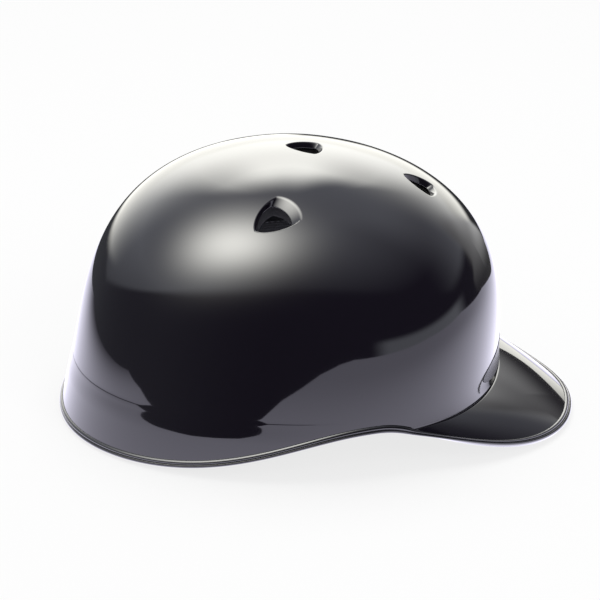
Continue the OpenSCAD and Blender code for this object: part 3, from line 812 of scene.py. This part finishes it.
class HELMET_OT_shell(bpy.types.Operator):
    """Makes the moulded shell with its brim, vents, brow lip and neck crease"""
    bl_idname = "helmet.shell"
    bl_label = "Shell"

    def execute(self, context):
        skin, builder = Skin(), Builder()
        s = skin.shape
        a = turns(COLUMNS)
        low, dome_rows = 98 * MM, 54
        roll, edge = s.vent_roll, 0.7 * MM
        mouth_end, wall_end = 0.2, 0.86

        def section(end_slope):
            slope = np.array([end_slope, s.vent_side_slope, s.wall])
            return np.concatenate([bend([-roll, -roll, 0], [0, 0, 0], slope * mouth_end, 9),
                                   bend(slope * wall_end, slope, slope - [edge, edge, 0], 6)])

        (outer_rim, inner_rim), skins = vented_dome(
            builder, skin, low, (0, s.wall), section, COLUMNS, dome_rows, (1 * MM, 2.6 * MM))
        numbers = [outer_rim] + [builder.add(row) for row in self.outer_rows(skin, a, low)]
        inner_rows = self.inner_rows(skin, a, low)
        numbers += [builder.add(row) for row in inner_rows[::-1]] + [inner_rim]
        builder.quads(numbers)
        mesh = builder.mesh("moulded_shell")
        directions = np.array([v.vector for v in mesh.vertex_normals])
        for points, exact in skins:
            directions[points] = exact
        directions[outer_rim] = skin.normal(a, np.full(COLUMNS, low))
        mesh.normals_split_custom_set_from_vertices(directions.tolist())
        add_piece("moulded_shell", mesh, polished_abs(colours().shell), "shell_abs", "shell")
        return {"FINISHED"}

    def outer_rows(self, skin, a, low):
        """The outer skin below the dome: the wall, the crease, the brow lip and the brim. A row of the lip
        has how far it stands out and its height above the brim, down its rolled edge and its groove."""
        s = skin.shape
        foot, lip = skin.foot(a), skin.lip_share(a)
        roll, bottom = s.lip_roll, s.lip_foot
        groove = MM * np.array([[0.25, 1.6], [0.05, 1.5], [0, 1.2], [0, 0.3], [0.15, 0.1], [0.7, 0.03]])
        lip_rows = np.concatenate([
            arc((s.brow_lip - roll, bottom + roll), (roll, roll), 10, -90, 9)[1:], groove])

        def wall(z):
            return skin.crown(a, z, skin.band(a, z) + skin.brow_flare(a, z))

        crease_top, crease_low = s.crease_height + s.crease_half, s.crease_height - s.crease_half
        for start, end, count in ((low, crease_top, 42), (crease_top, crease_low, 9)):
            for z in np.linspace(start, end, count)[1:]:
                yield wall(np.full(COLUMNS, z))
        # The rows crowd together toward the lip
        for t in np.linspace(0, 1, 40)[1:] ** 0.7:
            yield wall(mix(crease_low, foot + bottom + roll, t))
        for proud, height in lip_rows:
            z = foot + height
            yield skin.crown(a, z, skin.band(a, z) + proud * lip)
        for t in np.concatenate([[0, 0.02], np.linspace(0.05, 1, 24)]):
            yield skin.brim(a, t)

    def inner_rows(self, skin, a, low):
        """The inner skin below the dome, a wall's thickness under a plain outer skin."""
        s = skin.shape
        foot = skin.foot(a)
        heights = [mix(low, foot, t) for t in np.linspace(0, 1, 25)]
        plain = [skin.crown(a, z, skin.band(a, z)) for z in heights]
        plain += [skin.brim(a, t, lip=0) for t in np.linspace(0, 1, 15)[1:]]
        plain = np.array(plain)
        rows = np.concatenate([plain[:1], plain[:-2], plain[-2:-1]])
        below = np.concatenate([plain[1:], plain[-1:]])
        along = np.roll(plain, -1, axis=1) - np.roll(plain, 1, axis=1)
        out = unit(np.cross(along, rows - below))
        return list((plain - s.wall * out)[1:])


class HELMET_OT_trim(bpy.types.Operator):
    """Makes the rubber trim that runs round the shell's whole edge"""
    bl_idname = "helmet.trim"
    bl_label = "Edge trim"

    def execute(self, context):
        skin, builder = Skin(), Builder()
        rows = builder.add(skin.trim_rows(turns(COLUMNS)))
        builder.quads(np.concatenate([rows, rows[:1]]))
        add_piece("rubber_edge_trim", builder.mesh("rubber_edge_trim"), extruded_vinyl(colours().trim),
                  "trim_rubber", "edge_trim")
        return {"FINISHED"}


class HELMET_OT_badge(bpy.types.Operator):
    """Makes the blank oval badge on the brow"""
    bl_idname = "helmet.badge"
    bl_label = "Badge"

    def execute(self, context):
        skin, builder = Skin(), Builder()
        s, f = skin.shape, skin.fittings
        half_angle = math.asin(f.badge_width / s.crown_width)
        middle = s.brow_height + f.badge_rise + f.badge_height / 2
        turn = -turns(120)
        thick = f.badge_thickness
        # How far each row of the edge lies in from the outline in millimetres, and how far it stands out
        edge = [(0, -f.badge_gap), (0, 0), (0.04, thick / 2.2), (0.12, thick / 1.1), (0.2, thick),
                (0.35, thick)]
        section = [(1 - inset * MM / (f.badge_width / 2), 1 - inset * MM / (f.badge_height / 2), out)
                   for inset, out in edge]
        section += [(r, r, thick) for r in np.linspace(0.96, 0.04, 24)]

        def place(x, y, out):
            a, z = half_angle * x, middle + f.badge_height / 2 * y
            return skin.crown(a, z, skin.brow_flare(a, z)) + (f.badge_gap + out) * skin.normal(a, z)

        rows = [builder.add(place(wide * np.cos(turn), high * np.sin(turn), out))
                for wide, high, out in section]
        zero = np.zeros(1)
        back, front = (builder.add(place(zero, zero, out)) for out in (-f.badge_gap, thick))
        builder.quads(np.array(rows)[::-1])
        builder.fan(front[0], rows[-1])
        builder.fan(back[0], rows[0][::-1])
        add_piece("oval_badge", builder.mesh("oval_badge"), satin_plastic(colours().badge),
                  "badge_plastic", "front_badge")
        return {"FINISHED"}


def liner_depths(skin):
    """Depths of the liner's outer and inner face under the shell's skin."""
    out = skin.shape.wall + skin.fittings.liner_gap
    return out, out + skin.fittings.liner_thickness


class HELMET_OT_crown_liner(bpy.types.Operator):
    """Makes the foam liner under the top of the shell, with the vents running through it"""
    bl_idname = "helmet.crown_liner"
    bl_label = "Crown liner"

    def execute(self, context):
        skin, builder = Skin(), Builder()
        s, f = skin.shape, skin.fittings
        out, deep = liner_depths(skin)
        round_off = 1.6 * MM

        def section(slope):
            end_in, side_in = slope - f.vent_margin, s.vent_side_slope - f.vent_margin
            return np.concatenate([
                bend([end_in - round_off, side_in - round_off, out], [end_in, side_in, out],
                     [end_in, side_in, out + round_off], 5),
                bend([end_in, side_in, deep - round_off], [end_in, side_in, deep],
                     [end_in - round_off, side_in - round_off, deep], 5)])

        low, dome_rows = f.liner_split + f.liner_joint / 2, 26
        a = turns(LINER_COLUMNS)
        (outer, inner), _ = vented_dome(
            builder, skin, low + round_off, (out, deep), section, LINER_COLUMNS, dome_rows, (2.5 * MM,))
        foot = np.concatenate([
            bend([low + round_off, out], [low, out], [low, out + round_off], 5)[1:],
            bend([low, deep - round_off], [low, deep], [low + round_off, deep], 5)[:-1]])
        rows = [builder.add(skin.under(a, np.full(LINER_COLUMNS, z), depth)) for z, depth in foot]
        builder.quads([outer, *rows, inner])
        add_piece("foam_crown_liner", builder.mesh("foam_crown_liner"), bead_foam(colours().foam),
                  "liner_foam", "crown_liner")
        return {"FINISHED"}


def lines(span, edge, count):
    """Shares of a span from 0 to 1, with an extra line near either end to keep its edges crisp."""
    near = min(0.2, edge / span)
    return np.concatenate([[0], np.linspace(near, 1 - near, count), [1]])


class HELMET_OT_side_liners(bpy.types.Operator):
    """Makes the four foam liners round the sides"""
    bl_idname = "helmet.side_liners"
    bl_label = "Side liners"

    def execute(self, context):
        skin = Skin()
        f = skin.fittings
        foam = bead_foam(colours().foam)
        out, deep = liner_depths(skin)
        crisp = 2 * MM
        joint = f.liner_joint / skin.shape.crown_width
        front, rear = f.front_joint, f.rear_joint
        for name, start, end in (("front", joint - front, front - joint),
                                 ("rear", rear + joint, 2 * math.pi - rear - joint),
                                 ("left", front + joint, rear - joint),
                                 ("right", joint - rear, -front - joint)):
            builder = Builder()
            across = lines(skin.shape.crown_width * (end - start) / 2, crisp, 15)
            down = lines(60 * MM, crisp, 9)
            a, v = np.meshgrid(mix(start, end, across), down)
            top, foot = f.liner_split - f.liner_joint / 2, skin.foot(a) + f.liner_foot
            builder.box([skin.under(a, mix(top, foot, v), depth)
                         for depth in (out, out + crisp, deep - crisp, deep)])
            name = f"{name}_liner"
            piece = add_piece("foam_" + name, builder.mesh(name), foam, "liner_foam", name)
            subdivide(piece, 2)
        return {"FINISHED"}


def band_place(skin, middle, half):
    """A place on the brow or neck band: angle and height at u and v from -1 to 1."""
    f = skin.fittings

    def place(u, v):
        a = middle + half * u
        return a, mix(skin.foot(a) + f.liner_foot + f.pad_foot, f.pad_top, (v + 1) / 2)
    return place


def crown_place(skin, middle, half):
    """A place on the crown: angle and height at u and v from -1 to 1."""
    f = skin.fittings
    flare = 0.12

    def place(u, v):
        a = middle + half * u * (1 + flare * v)
        return a, skin.height_at(a, mix(f.crown_pad_near, f.crown_pad_far, (1 - v) / 2))
    return place


def pad_places(skin):
    """Each pad's name, place and sewn channels, where its patches sit, and whether they stand upright."""
    f = skin.fittings
    thirds, middle = (-0.33, 0.33), (0,)
    pair, single = ((-0.55, 0), (0.55, 0)), ((0, 0),)
    yield "forehead_pad", band_place(skin, 0, f.forehead_half), thirds, pair, False
    yield "nape_pad", band_place(skin, math.pi, f.nape_half), thirds, pair, False
    for side, way in (("left", 1), ("right", -1)):
        place = band_place(skin, way * f.temple_angle, f.temple_half)
        yield f"{side}_temple_pad", place, middle, pair, True
    for side, way in (("left", 1), ("right", -1)):
        place = crown_place(skin, way * f.side_crown_angle, f.side_crown_half)
        yield f"{side}_crown_pad", place, (), single, False
    yield "rear_crown_pad", crown_place(skin, math.pi, f.rear_crown_half), (), single, False


class HELMET_OT_patches(bpy.types.Operator):
    """Makes the hook patches on the liners and the loop patches behind the pads"""
    bl_idname = "helmet.patches"
    bl_label = "Hook and loop patches"

    def execute(self, context):
        skin = Skin()
        f = skin.fittings
        hook_depth = liner_depths(skin)[1] + f.pad_gap
        loop_depth = hook_depth + f.patch_thickness
        for kind, depth, pile in (("hook", hook_depth, 0.9 * MM), ("loop", loop_depth, 0.5 * MM)):
            builder = Builder()
            for _, place, _, spots, upright in pad_places(skin):
                for u, v in spots:
                    self.add_patch(builder, skin, place, u, v, upright, depth)
            name = f"{kind}_patches"
            tape = woven_tape(colours().tape, f"nylon_{kind}_tape", pile, 0.8)
            piece = add_piece(f"{kind}_tape_patches", builder.mesh(name), tape, f"{kind}_tape", name)
            subdivide(piece, 1)
        return {"FINISHED"}

    def add_patch(self, builder, skin, place, u, v, upright, depth):
        """Adds a patch with rounded corners at a place of its pad."""
        f = skin.fittings
        mid_a, mid_z = place(u, v)
        turn, lift = 0.01, 0.5 * MM
        around = skin.crown(mid_a + turn, mid_z) - skin.crown(mid_a - turn, mid_z)
        upward = skin.crown(mid_a, mid_z + lift) - skin.crown(mid_a, mid_z - lift)
        reach, climb = np.linalg.norm(around) / (2 * turn), np.linalg.norm(upward) / (2 * lift)
        wide, high = (f.patch_width, f.patch_length) if upright else (f.patch_length, f.patch_width)
        crisp, corner = 0.6 * MM, 0.2
        s, t = np.meshgrid(2 * lines(wide, crisp, 6) - 1, 1 - 2 * lines(high, crisp, 6))
        a = mid_a + wide / 2 / reach * s * np.sqrt(1 - corner * t * t)
        z = mid_z + high / 2 / climb * t * np.sqrt(1 - corner * s * s)
        thick = f.patch_thickness - 0.05 * MM
        builder.box([skin.under(a, z, depth + thick * part) for part in (0, 0.35, 0.65, 1)])


class HELMET_OT_pads(bpy.types.Operator):
    """Makes the soft comfort pads with their sewn channels, bindings and stitches"""
    bl_idname = "helmet.pads"
    bl_label = "Comfort pads"

    def execute(self, context):
        skin, shades, tool = Skin(), colours(), stitch_tool()
        fabric = knitted_fabric(shades.fabric)
        tape = woven_tape(shades.binding, "woven_binding", 0.6 * MM, 0.5)
        thread = polyester_thread(shades.thread)
        for name, place, seams, _, _ in pad_places(skin):
            cushion = self.cushion(skin, name, place, seams)
            piece = add_piece("soft_" + name, cushion, fabric, "pad_fabric", name)
            subdivide(piece, 1)
            add_piece(name + "_binding", self.binding(skin, name, place), tape, "pad_fabric")
            sewing = self.stitches(skin, name, place, seams, tool, thread)
            add_piece(name + "_stitches", sewing, thread, "pad_fabric")
        return {"FINISHED"}

    def spread(self, u, v):
        """Rounds the corners of the square from -1 to 1 and draws its sides in a little."""
        corner, waist = 0.4, 0.05
        return (u * np.sqrt(1 - corner * v * v) * (1 - waist * (1 - v * v)),
                v * np.sqrt(1 - corner * u * u) * (1 - waist * (1 - u * u)))

    def depth(self, skin):
        """How deep the pads' backs lie, behind both patches."""
        f = skin.fittings
        return liner_depths(skin)[1] + 2 * f.pad_gap + 2 * f.patch_thickness

    def plump(self, skin, u, v, seams):
        """A pad's thickness as a share: full in the middle, thin at its border and along its channels."""
        border, channel_half, channel_deep = skin.fittings.pad_border, 0.07, 0.45
        edge = np.sqrt(np.maximum(0, 1 - u ** 4) * np.maximum(0, 1 - v ** 4))
        sewn_in = sum(np.exp(-((u - seam) / channel_half) ** 2) for seam in seams) if seams else 0
        return border + (1 - border) * edge * (1 - channel_deep * sewn_in)

    def point(self, skin, a, z, depth):
        """A point of a pad, kept just below the very top, where an angle says nothing."""
        return skin.under(a, np.minimum(z, skin.shape.crown_height * 0.999), depth)

    def cushion(self, skin, name, place, seams):
        """A pad's body, with its fabric laid out flat in an attribute. Its sides swell out a little."""
        f = skin.fittings
        columns, rows, swell = 57, 37, 0.012
        u, v = np.meshgrid(np.linspace(-1, 1, columns), np.linspace(1, -1, rows))
        back = self.depth(skin)
        front = back + f.pad_thickness * self.plump(skin, u, v, seams)
        a, z = place(*self.spread(u, v))
        mid_a, mid_z = a.mean(), z.mean()
        layers = []
        for part in (0, 0.15, 0.4, 0.7, 1):
            grow = 1 + swell * math.sin(math.pi * part)
            layers.append(self.point(skin, mid_a + (a - mid_a) * grow, mid_z + (z - mid_z) * grow,
                                     mix(back, front, part)))
        builder = Builder()
        numbers = builder.box(layers)
        mesh = builder.mesh("soft_" + name)
        across, down = layers[0][rows // 2], layers[0][:, columns // 2]
        wide, tall = np.linalg.norm(across[-1] - across[0]) / 2, np.linalg.norm(down[-1] - down[0]) / 2
        flat = np.zeros((builder.count, 3))
        for k, layer in enumerate(numbers):
            used = layer >= 0
            flat[layer[used]] = np.stack([u * wide, v * tall, 0 * u + k * MM], axis=-1)[used]
        mesh.attributes.new(CLOTH, "FLOAT_VECTOR", "POINT").data.foreach_set("vector", flat.ravel())
        return mesh

    def stitches(self, skin, name, place, seams, tool, thread):
        """The thread along the border and the channels, on the side toward the head."""
        f = skin.fittings
        count, channel_end = 40, 0.88
        side = np.linspace(-1, 1, count, endpoint=False) * f.seam_inset
        one = np.full_like(side, f.seam_inset)
        border = np.stack([np.concatenate([side, one, -side, -one, side[:1]]),
                           np.concatenate([-one, side, one, -side, -one[:1]])])
        channels = [np.stack([np.full(count, seam), np.linspace(-channel_end, channel_end, count)])
                    for seam in seams]
        points, edges = [], []
        for u, v in (border, *channels):
            a, z = place(*self.spread(u, v))
            depth = self.depth(skin) + f.pad_thickness * self.plump(skin, u, v, seams) + f.thread * 0.2
            edges += [(len(points) + k, len(points) + k + 1) for k in range(len(u) - 1)]
            points += self.point(skin, a, z, depth).tolist()
        return sewn(name + "_stitches", points, edges, tool, {
            "Pitch": f.stitch_pitch, "Length": f.stitch_length, "Thread": f.thread, "Material": thread})

    def binding(self, skin, name, place):
        """A round binding sewn over the pad's border."""
        f = skin.fittings
        radius = 1.5 * MM
        side = np.linspace(-1, 1, 60, endpoint=False)
        one = np.ones_like(side)
        u = np.concatenate([side, one, -side, -one])
        v = np.concatenate([-one, side, one, -side])
        a, z = place(*self.spread(u, v))
        path = skin.under(a, z, self.depth(skin) + f.pad_thickness * f.pad_border / 2)
        out = skin.normal(a, z)
        across = np.cross(unit(np.roll(path, -1, axis=0) - np.roll(path, 1, axis=0)), out)
        turn = turns(12)[:, None, None]
        builder = Builder()
        rows = builder.add(path + radius * (np.cos(turn) * out + np.sin(turn) * across))
        builder.quads(np.concatenate([rows, rows[:1]]))
        return builder.mesh(name + "_binding")


class HELMET_OT_stage(bpy.types.Operator):
    """Sets the floor, the lights and the camera"""
    bl_idname = "helmet.stage"
    bl_label = "Stage"

    def execute(self, context):
        scene = context.scene
        scene.view_settings.view_transform = "Standard"
        self.camera(scene)
        self.floor()
        self.room()
        self.lamps(scene)
        return {"FINISHED"}

    def camera(self, scene):
        """The camera on the helmet's right, a little forward of its side."""
        view = studio()
        azimuth, height = view.camera_azimuth, view.camera_height
        away = Vector((-math.cos(azimuth) * math.cos(height), -math.sin(azimuth) * math.cos(height),
                       math.sin(height)))
        data = bpy.data.cameras.new("camera")
        data.sensor_width = 36
        data.lens = view.camera_lens / MM
        data.shift_x, data.shift_y = view.camera_right, view.camera_up
        camera = bpy.data.objects.new("camera", data)
        camera.location = away * view.camera_distance + Vector(Skin().stand)
        camera.rotation_euler = (-away).to_track_quat("-Z", "Y").to_euler()
        scene.collection.objects.link(camera)
        scene.camera = camera

    def add_stage(self, name, builder, material, glossy_only=False):
        """Shows a mesh as part of the studio, or only in the gloss of the helmet."""
        mesh = builder.mesh(name)
        mesh.materials.append(material)
        piece = bpy.data.objects.new(name, mesh)
        bpy.context.scene.collection.objects.link(piece)
        if glossy_only:
            piece.visible_camera = piece.visible_diffuse = piece.visible_shadow = False
            piece.visible_transmission = piece.visible_volume_scatter = False
        return piece

    def sheet(self, outline, z):
        """A flat sheet with an outline, lying at a height."""
        builder = Builder()
        builder.faces.append(builder.add([(x, y, z) for x, y in outline]).tolist())
        return builder

    def floor(self):
        """A pale floor, and the table with its painted pool of light that the gloss sees on it."""
        pale, tree = new_material("pale_paper")
        # The paper glows by itself, so that it comes out nearly white with only a faint shadow
        lit_part, glow = 0.22, 0.785
        paper = node(tree, "ShaderNodeBsdfDiffuse", {"Color": rgba(colours().floor, lit_part)})
        light = node(tree, "ShaderNodeEmission", {"Strength": glow})
        surface = node(tree, "ShaderNodeAddShader", {0: paper.outputs[0], 1: light.outputs[0]})
        node(tree, "ShaderNodeOutputMaterial", {"Surface": surface.outputs[0]})
        half = 12
        square = [(-half, -half), (half, -half), (half, half), (-half, half)]
        floor = self.add_stage("floor", self.sheet(square, -0.2 * MM), pale)
        floor.visible_glossy = False
        turn = math.pi + studio().camera_azimuth
        near = np.array([math.cos(turn), math.sin(turn)])
        right = np.array([-near[1], near[0]])
        corners = np.array(TABLE_OUTLINE) * MM
        outline = corners[:, :1] * near + corners[:, 1:] * right
        table = self.sheet(outline, -0.1 * MM)
        self.add_stage("table_top", table, self.painted_light_table(near, right), glossy_only=True)
        self.brim_card(near, right)

    def brim_card(self, near, right):
        """A grey card standing behind the helmet, seen only in the gloss of the brim and shoulder. It
        glows though it is no lamp, with painted light and shade: it darkens to the right and toward its
        foot, and its edges are soft. Its places are in millimetres."""
        behind, top = 140, 290
        side, part = np.meshgrid(np.linspace(150, 440, 59), np.linspace(0, 1, 47) ** 1.4)
        bottom = 33 + 0.0165 * np.maximum(0, 200 - side) ** 2 + 0.08 * np.maximum(0, side - 210)
        up = mix(bottom, top, part)
        # Painted light and shade: it glows brightest high up on the left, and is dark at its foot
        fade = np.exp((190 - side) / 90)
        shade = 0.2 + 0.5 * fade + 0.9 * rise(up, 110, 60) * fade ** 2
        shade = mix(0.06, shade, rise(up, 45, np.where(side < 250, 55, 75)))
        # Its left edge leans inward and softens toward the top, where the right one comes in too
        left = rise(side, 155 + 0.42 * (up - 62), 6 + 0.35 * np.maximum(0, up - 62))
        end = mix(380, 300, rise(up, 80, 40))
        cover = left * fall(side, end, 60) * fall(up, 190, 90)
        ground = side[..., None] * right - behind * near
        builder = Builder()
        builder.quads(builder.add(np.dstack([ground, up]) * MM), closed=False)
        material, tree = new_material("graded_card")
        shade_here, cover_here = (node(tree, "ShaderNodeAttribute", attribute_name=name).outputs["Fac"]
                                  for name in ("shade", "cover"))
        # The card's painted light: its emission follows the shade it is given at each point
        light = node(tree, "ShaderNodeEmission", {"Strength": shade_here}).outputs[0]
        clear = node(tree, "ShaderNodeBsdfTransparent").outputs[0]
        surface = node(tree, "ShaderNodeMixShader", {0: cover_here, 1: clear, 2: light})
        node(tree, "ShaderNodeOutputMaterial", {"Surface": surface.outputs[0]})
        card = self.add_stage("brim_card", builder, material, glossy_only=True)
        for name, values in (("shade", shade), ("cover", cover)):
            card.data.attributes.new(name, "FLOAT", "POINT").data.foreach_set("value", values.ravel())

    def painted_light_table(self, near, right):
        """A white table that glows with a painted pool of light, brightest round the helmet and dying out
        to the left.
        """
        material, tree = new_material("painted_light_table")
        place = node(tree, "ShaderNodeTexCoord").outputs["Object"]

        def along(way, start, reach):
            spot = node(tree, "ShaderNodeVectorMath", {0: place, 1: (*way, 0)}, operation="DOT_PRODUCT")
            return node(tree, "ShaderNodeMapRange", {
                "Value": spot.outputs["Value"], "From Min": start * MM,
                "From Max": (start + reach) * MM}, clamp=False).outputs[0]

        square = [node(tree, "ShaderNodeMath", {0: side, 1: 2}, operation="POWER").outputs[0]
                  for side in (along(near, -30, 200), along(right, 80, 350))]
        apart = node(tree, "ShaderNodeMath", {0: square[0], 1: square[1]}, operation="ADD")
        dim = node(tree, "ShaderNodeMath", {0: math.exp(-1), 1: apart.outputs[0]}, operation="POWER")
        pool = node(tree, "ShaderNodeMath", {0: dim.outputs[0], 1: 0.75}, operation="ADD")
        edge = node(tree, "ShaderNodeMapRange", {"Value": along(right, -430, 230)},
                    interpolation_type="SMOOTHSTEP")
        strength = node(tree, "ShaderNodeMath", {0: pool.outputs[0], 1: edge.outputs[0]},
                        operation="MULTIPLY")
        # Painted light: the table is no lamp, and its emission paints the pool of light round the helmet
        surface = node(tree, "ShaderNodeEmission", {
            "Color": (0.96, 0.94, 1.12, 1), "Strength": strength.outputs[0]})
        node(tree, "ShaderNodeOutputMaterial", {"Surface": surface.outputs[0]})
        return material

    def glow(self, off, height):
        """The colour of the light from each direction: degrees off the camera and above the floor."""
        light = studio()
        back = (off + 360) % 360 - 180
        # The softbox behind, lower toward its sides and dimmer toward the floor
        top = 54 - np.where(back < 0, 0.02, 0.004) * np.minimum(back ** 2, 1200)
        box = fall(np.abs(back - 2), 8, 32) * fall(height, top, 14) * np.clip((height + 5) / 55, 0, 1) ** 2
        # The pale backdrop, with a lower edge that rises to both sides
        low = np.where(back < 0, -8, -12) + np.where(back < 0, 0.2, 0.4) * np.maximum(0, np.abs(back) - 15)
        backdrop = np.where(back > 0, fall(back, 15, 50), fall(-back, 22, 38))
        backdrop = backdrop * fall(height, 20, 40) * rise(height, low, np.where(back < 0, 6, 4))
        # The key light, a round glow
        turn, up = np.radians(off), np.radians(height)
        cosine = (math.sin(light.key_height) * np.sin(up)
                  + math.cos(light.key_height) * np.cos(up) * np.cos(turn - light.key_azimuth))
        key = np.exp(-(np.arccos(np.clip(cosine, -1, 1)) / light.key_spread) ** 2 / 2)
        # The dark flag in front, whose upper edge bows up toward its middle
        bow = np.where(off < 10, 0.67, 0.85) * (off - 10)
        flag = 39 * np.cos(np.radians(np.clip(bow, -90, 90)))
        soft = mix(9, 3, rise(np.abs(off - 10), 55, 40))
        # The room above the flag, lit in its own way in front, on the left and behind
        left = rise(-off, 0, 60) * fall(-off, 140, 40)
        rear = np.maximum(rise(off, 80, 45), rise(-off, 140, 40))
        front_light = 0.55 * np.clip((height - 30) / 50, 0, 1) ** 1.1
        left_light = 0.52 * np.clip((height + 5) / 30, 0, 1)
        rear_light = (0.32 + 0.24 * rise(height, 35, 25)) * rise(height, 9, 7)
        ambient = mix(mix(front_light, left_light, left), rear_light, rear)
        ambient = ambient * rise(height, flag - soft / 2, soft)
        card = rise(off, 28, 12) * fall(off, 92, 15) * fall(height, 3, 4) * (height > -20)
        dark = mix(1, 3, rise(-off, 10, 60) * fall(-off, 120, 60))
        warm, cool = np.array([1.03, 1.02, 0.95]), np.array([0.94, 0.98, 1.08])
        bright = light.softbox * box + light.backdrop * backdrop + light.key * key
        dim = light.ambient * ambient + light.card * card + light.dark * dark
        return bright[..., None] * warm + dim[..., None] * cool

    def room(self):
        """The room as the gloss sees it, with its softbox and backdrop behind and a dark flag in front."""
        radius, turn_step, height_step = 4.0, 1.5, 1.0
        azimuth, height = np.meshgrid(np.arange(0, 360, turn_step), np.arange(90, -90.1, -height_step))
        glow = self.glow((azimuth + 180) % 360 - 180, height)
        turn = math.pi + studio().camera_azimuth + np.radians(azimuth)
        up = np.radians(height)
        points = np.stack([np.cos(up) * np.cos(turn), np.cos(up) * np.sin(turn), np.sin(up)], -1)
        builder = Builder()
        builder.quads(builder.add(points * radius)[:, ::-1])
        material, tree = new_material("studio_room")
        colour_here = node(tree, "ShaderNodeAttribute", attribute_name="glow").outputs["Color"]
        surface = node(tree, "ShaderNodeEmission", {"Color": colour_here})
        node(tree, "ShaderNodeOutputMaterial", {"Surface": surface.outputs[0]})
        room = self.add_stage("studio_room", builder, material, glossy_only=True)
        values = np.concatenate([glow, np.ones_like(glow[..., :1])], axis=-1)
        room.data.attributes.new("glow", "FLOAT_COLOR", "POINT").data.foreach_set("color", values.ravel())

    def lamps(self, scene):
        """Soft light from all round, and two large lamps that light the dull surfaces only."""
        world = bpy.data.worlds.new("studio")
        world.use_nodes = True
        tree = world.node_tree
        tree.nodes.clear()
        background = node(tree, "ShaderNodeBackground", {"Color": (0.9, 0.9, 0.9, 1), "Strength": 0.5})
        node(tree, "ShaderNodeOutputWorld", {"Surface": background.outputs[0]})
        scene.world = world
        for name, place, size, power in (("overhead", (0.3, 0.1, 1.8), 1.6, 22),
                                         ("side", (-1.2, -1.0, 1.2), 0.8, 6)):
            data = bpy.data.lights.new(name, "AREA")
            data.shape = "SQUARE"
            data.size = size
            data.energy = power
            lamp = bpy.data.objects.new(name, data)
            lamp.location = place
            lamp.rotation_euler = Vector(place).to_track_quat("Z", "Y").to_euler()
            lamp.visible_glossy = False
            lamp.visible_camera = False
            scene.collection.objects.link(lamp)


class HELMET_PT_panel(bpy.types.Panel):
    """Lists the steps that make the helmet"""
    bl_idname = "HELMET_PT_panel"
    bl_label = "Catcher helmet"
    bl_space_type = "VIEW_3D"
    bl_region_type = "UI"
    bl_category = "Helmet"

    def draw(self, context):
        for operator in STEPS:
            self.layout.operator(operator.bl_idname)


GROUPS = {"helmet_shape": HelmetShape, "helmet_fittings": HelmetFittings, "helmet_colours": HelmetColours,
          "helmet_studio": HelmetStudio}
STEPS = (HELMET_OT_stage, HELMET_OT_shell, HELMET_OT_trim, HELMET_OT_badge, HELMET_OT_crown_liner,
         HELMET_OT_side_liners, HELMET_OT_patches, HELMET_OT_pads)


def register():
    """Registers the values, the steps and the panel."""
    for group in (*GROUPS.values(), *STEPS, HELMET_PT_panel):
        bpy.utils.register_class(group)
    for name, group in GROUPS.items():
        setattr(bpy.types.Scene, name, PointerProperty(type=group))


def unregister():
    """Takes them away again, in reverse order."""
    for name in GROUPS:
        delattr(bpy.types.Scene, name)
    for group in (HELMET_PT_panel, *reversed(STEPS), *reversed(GROUPS.values())):
        bpy.utils.unregister_class(group)


def main():
    """Makes the helmet step by step."""
    register()
    for step in STEPS:
        family, name = step.bl_idname.split(".")
        getattr(getattr(bpy.ops, family), name)()


if __name__ == "__main__":
    main()
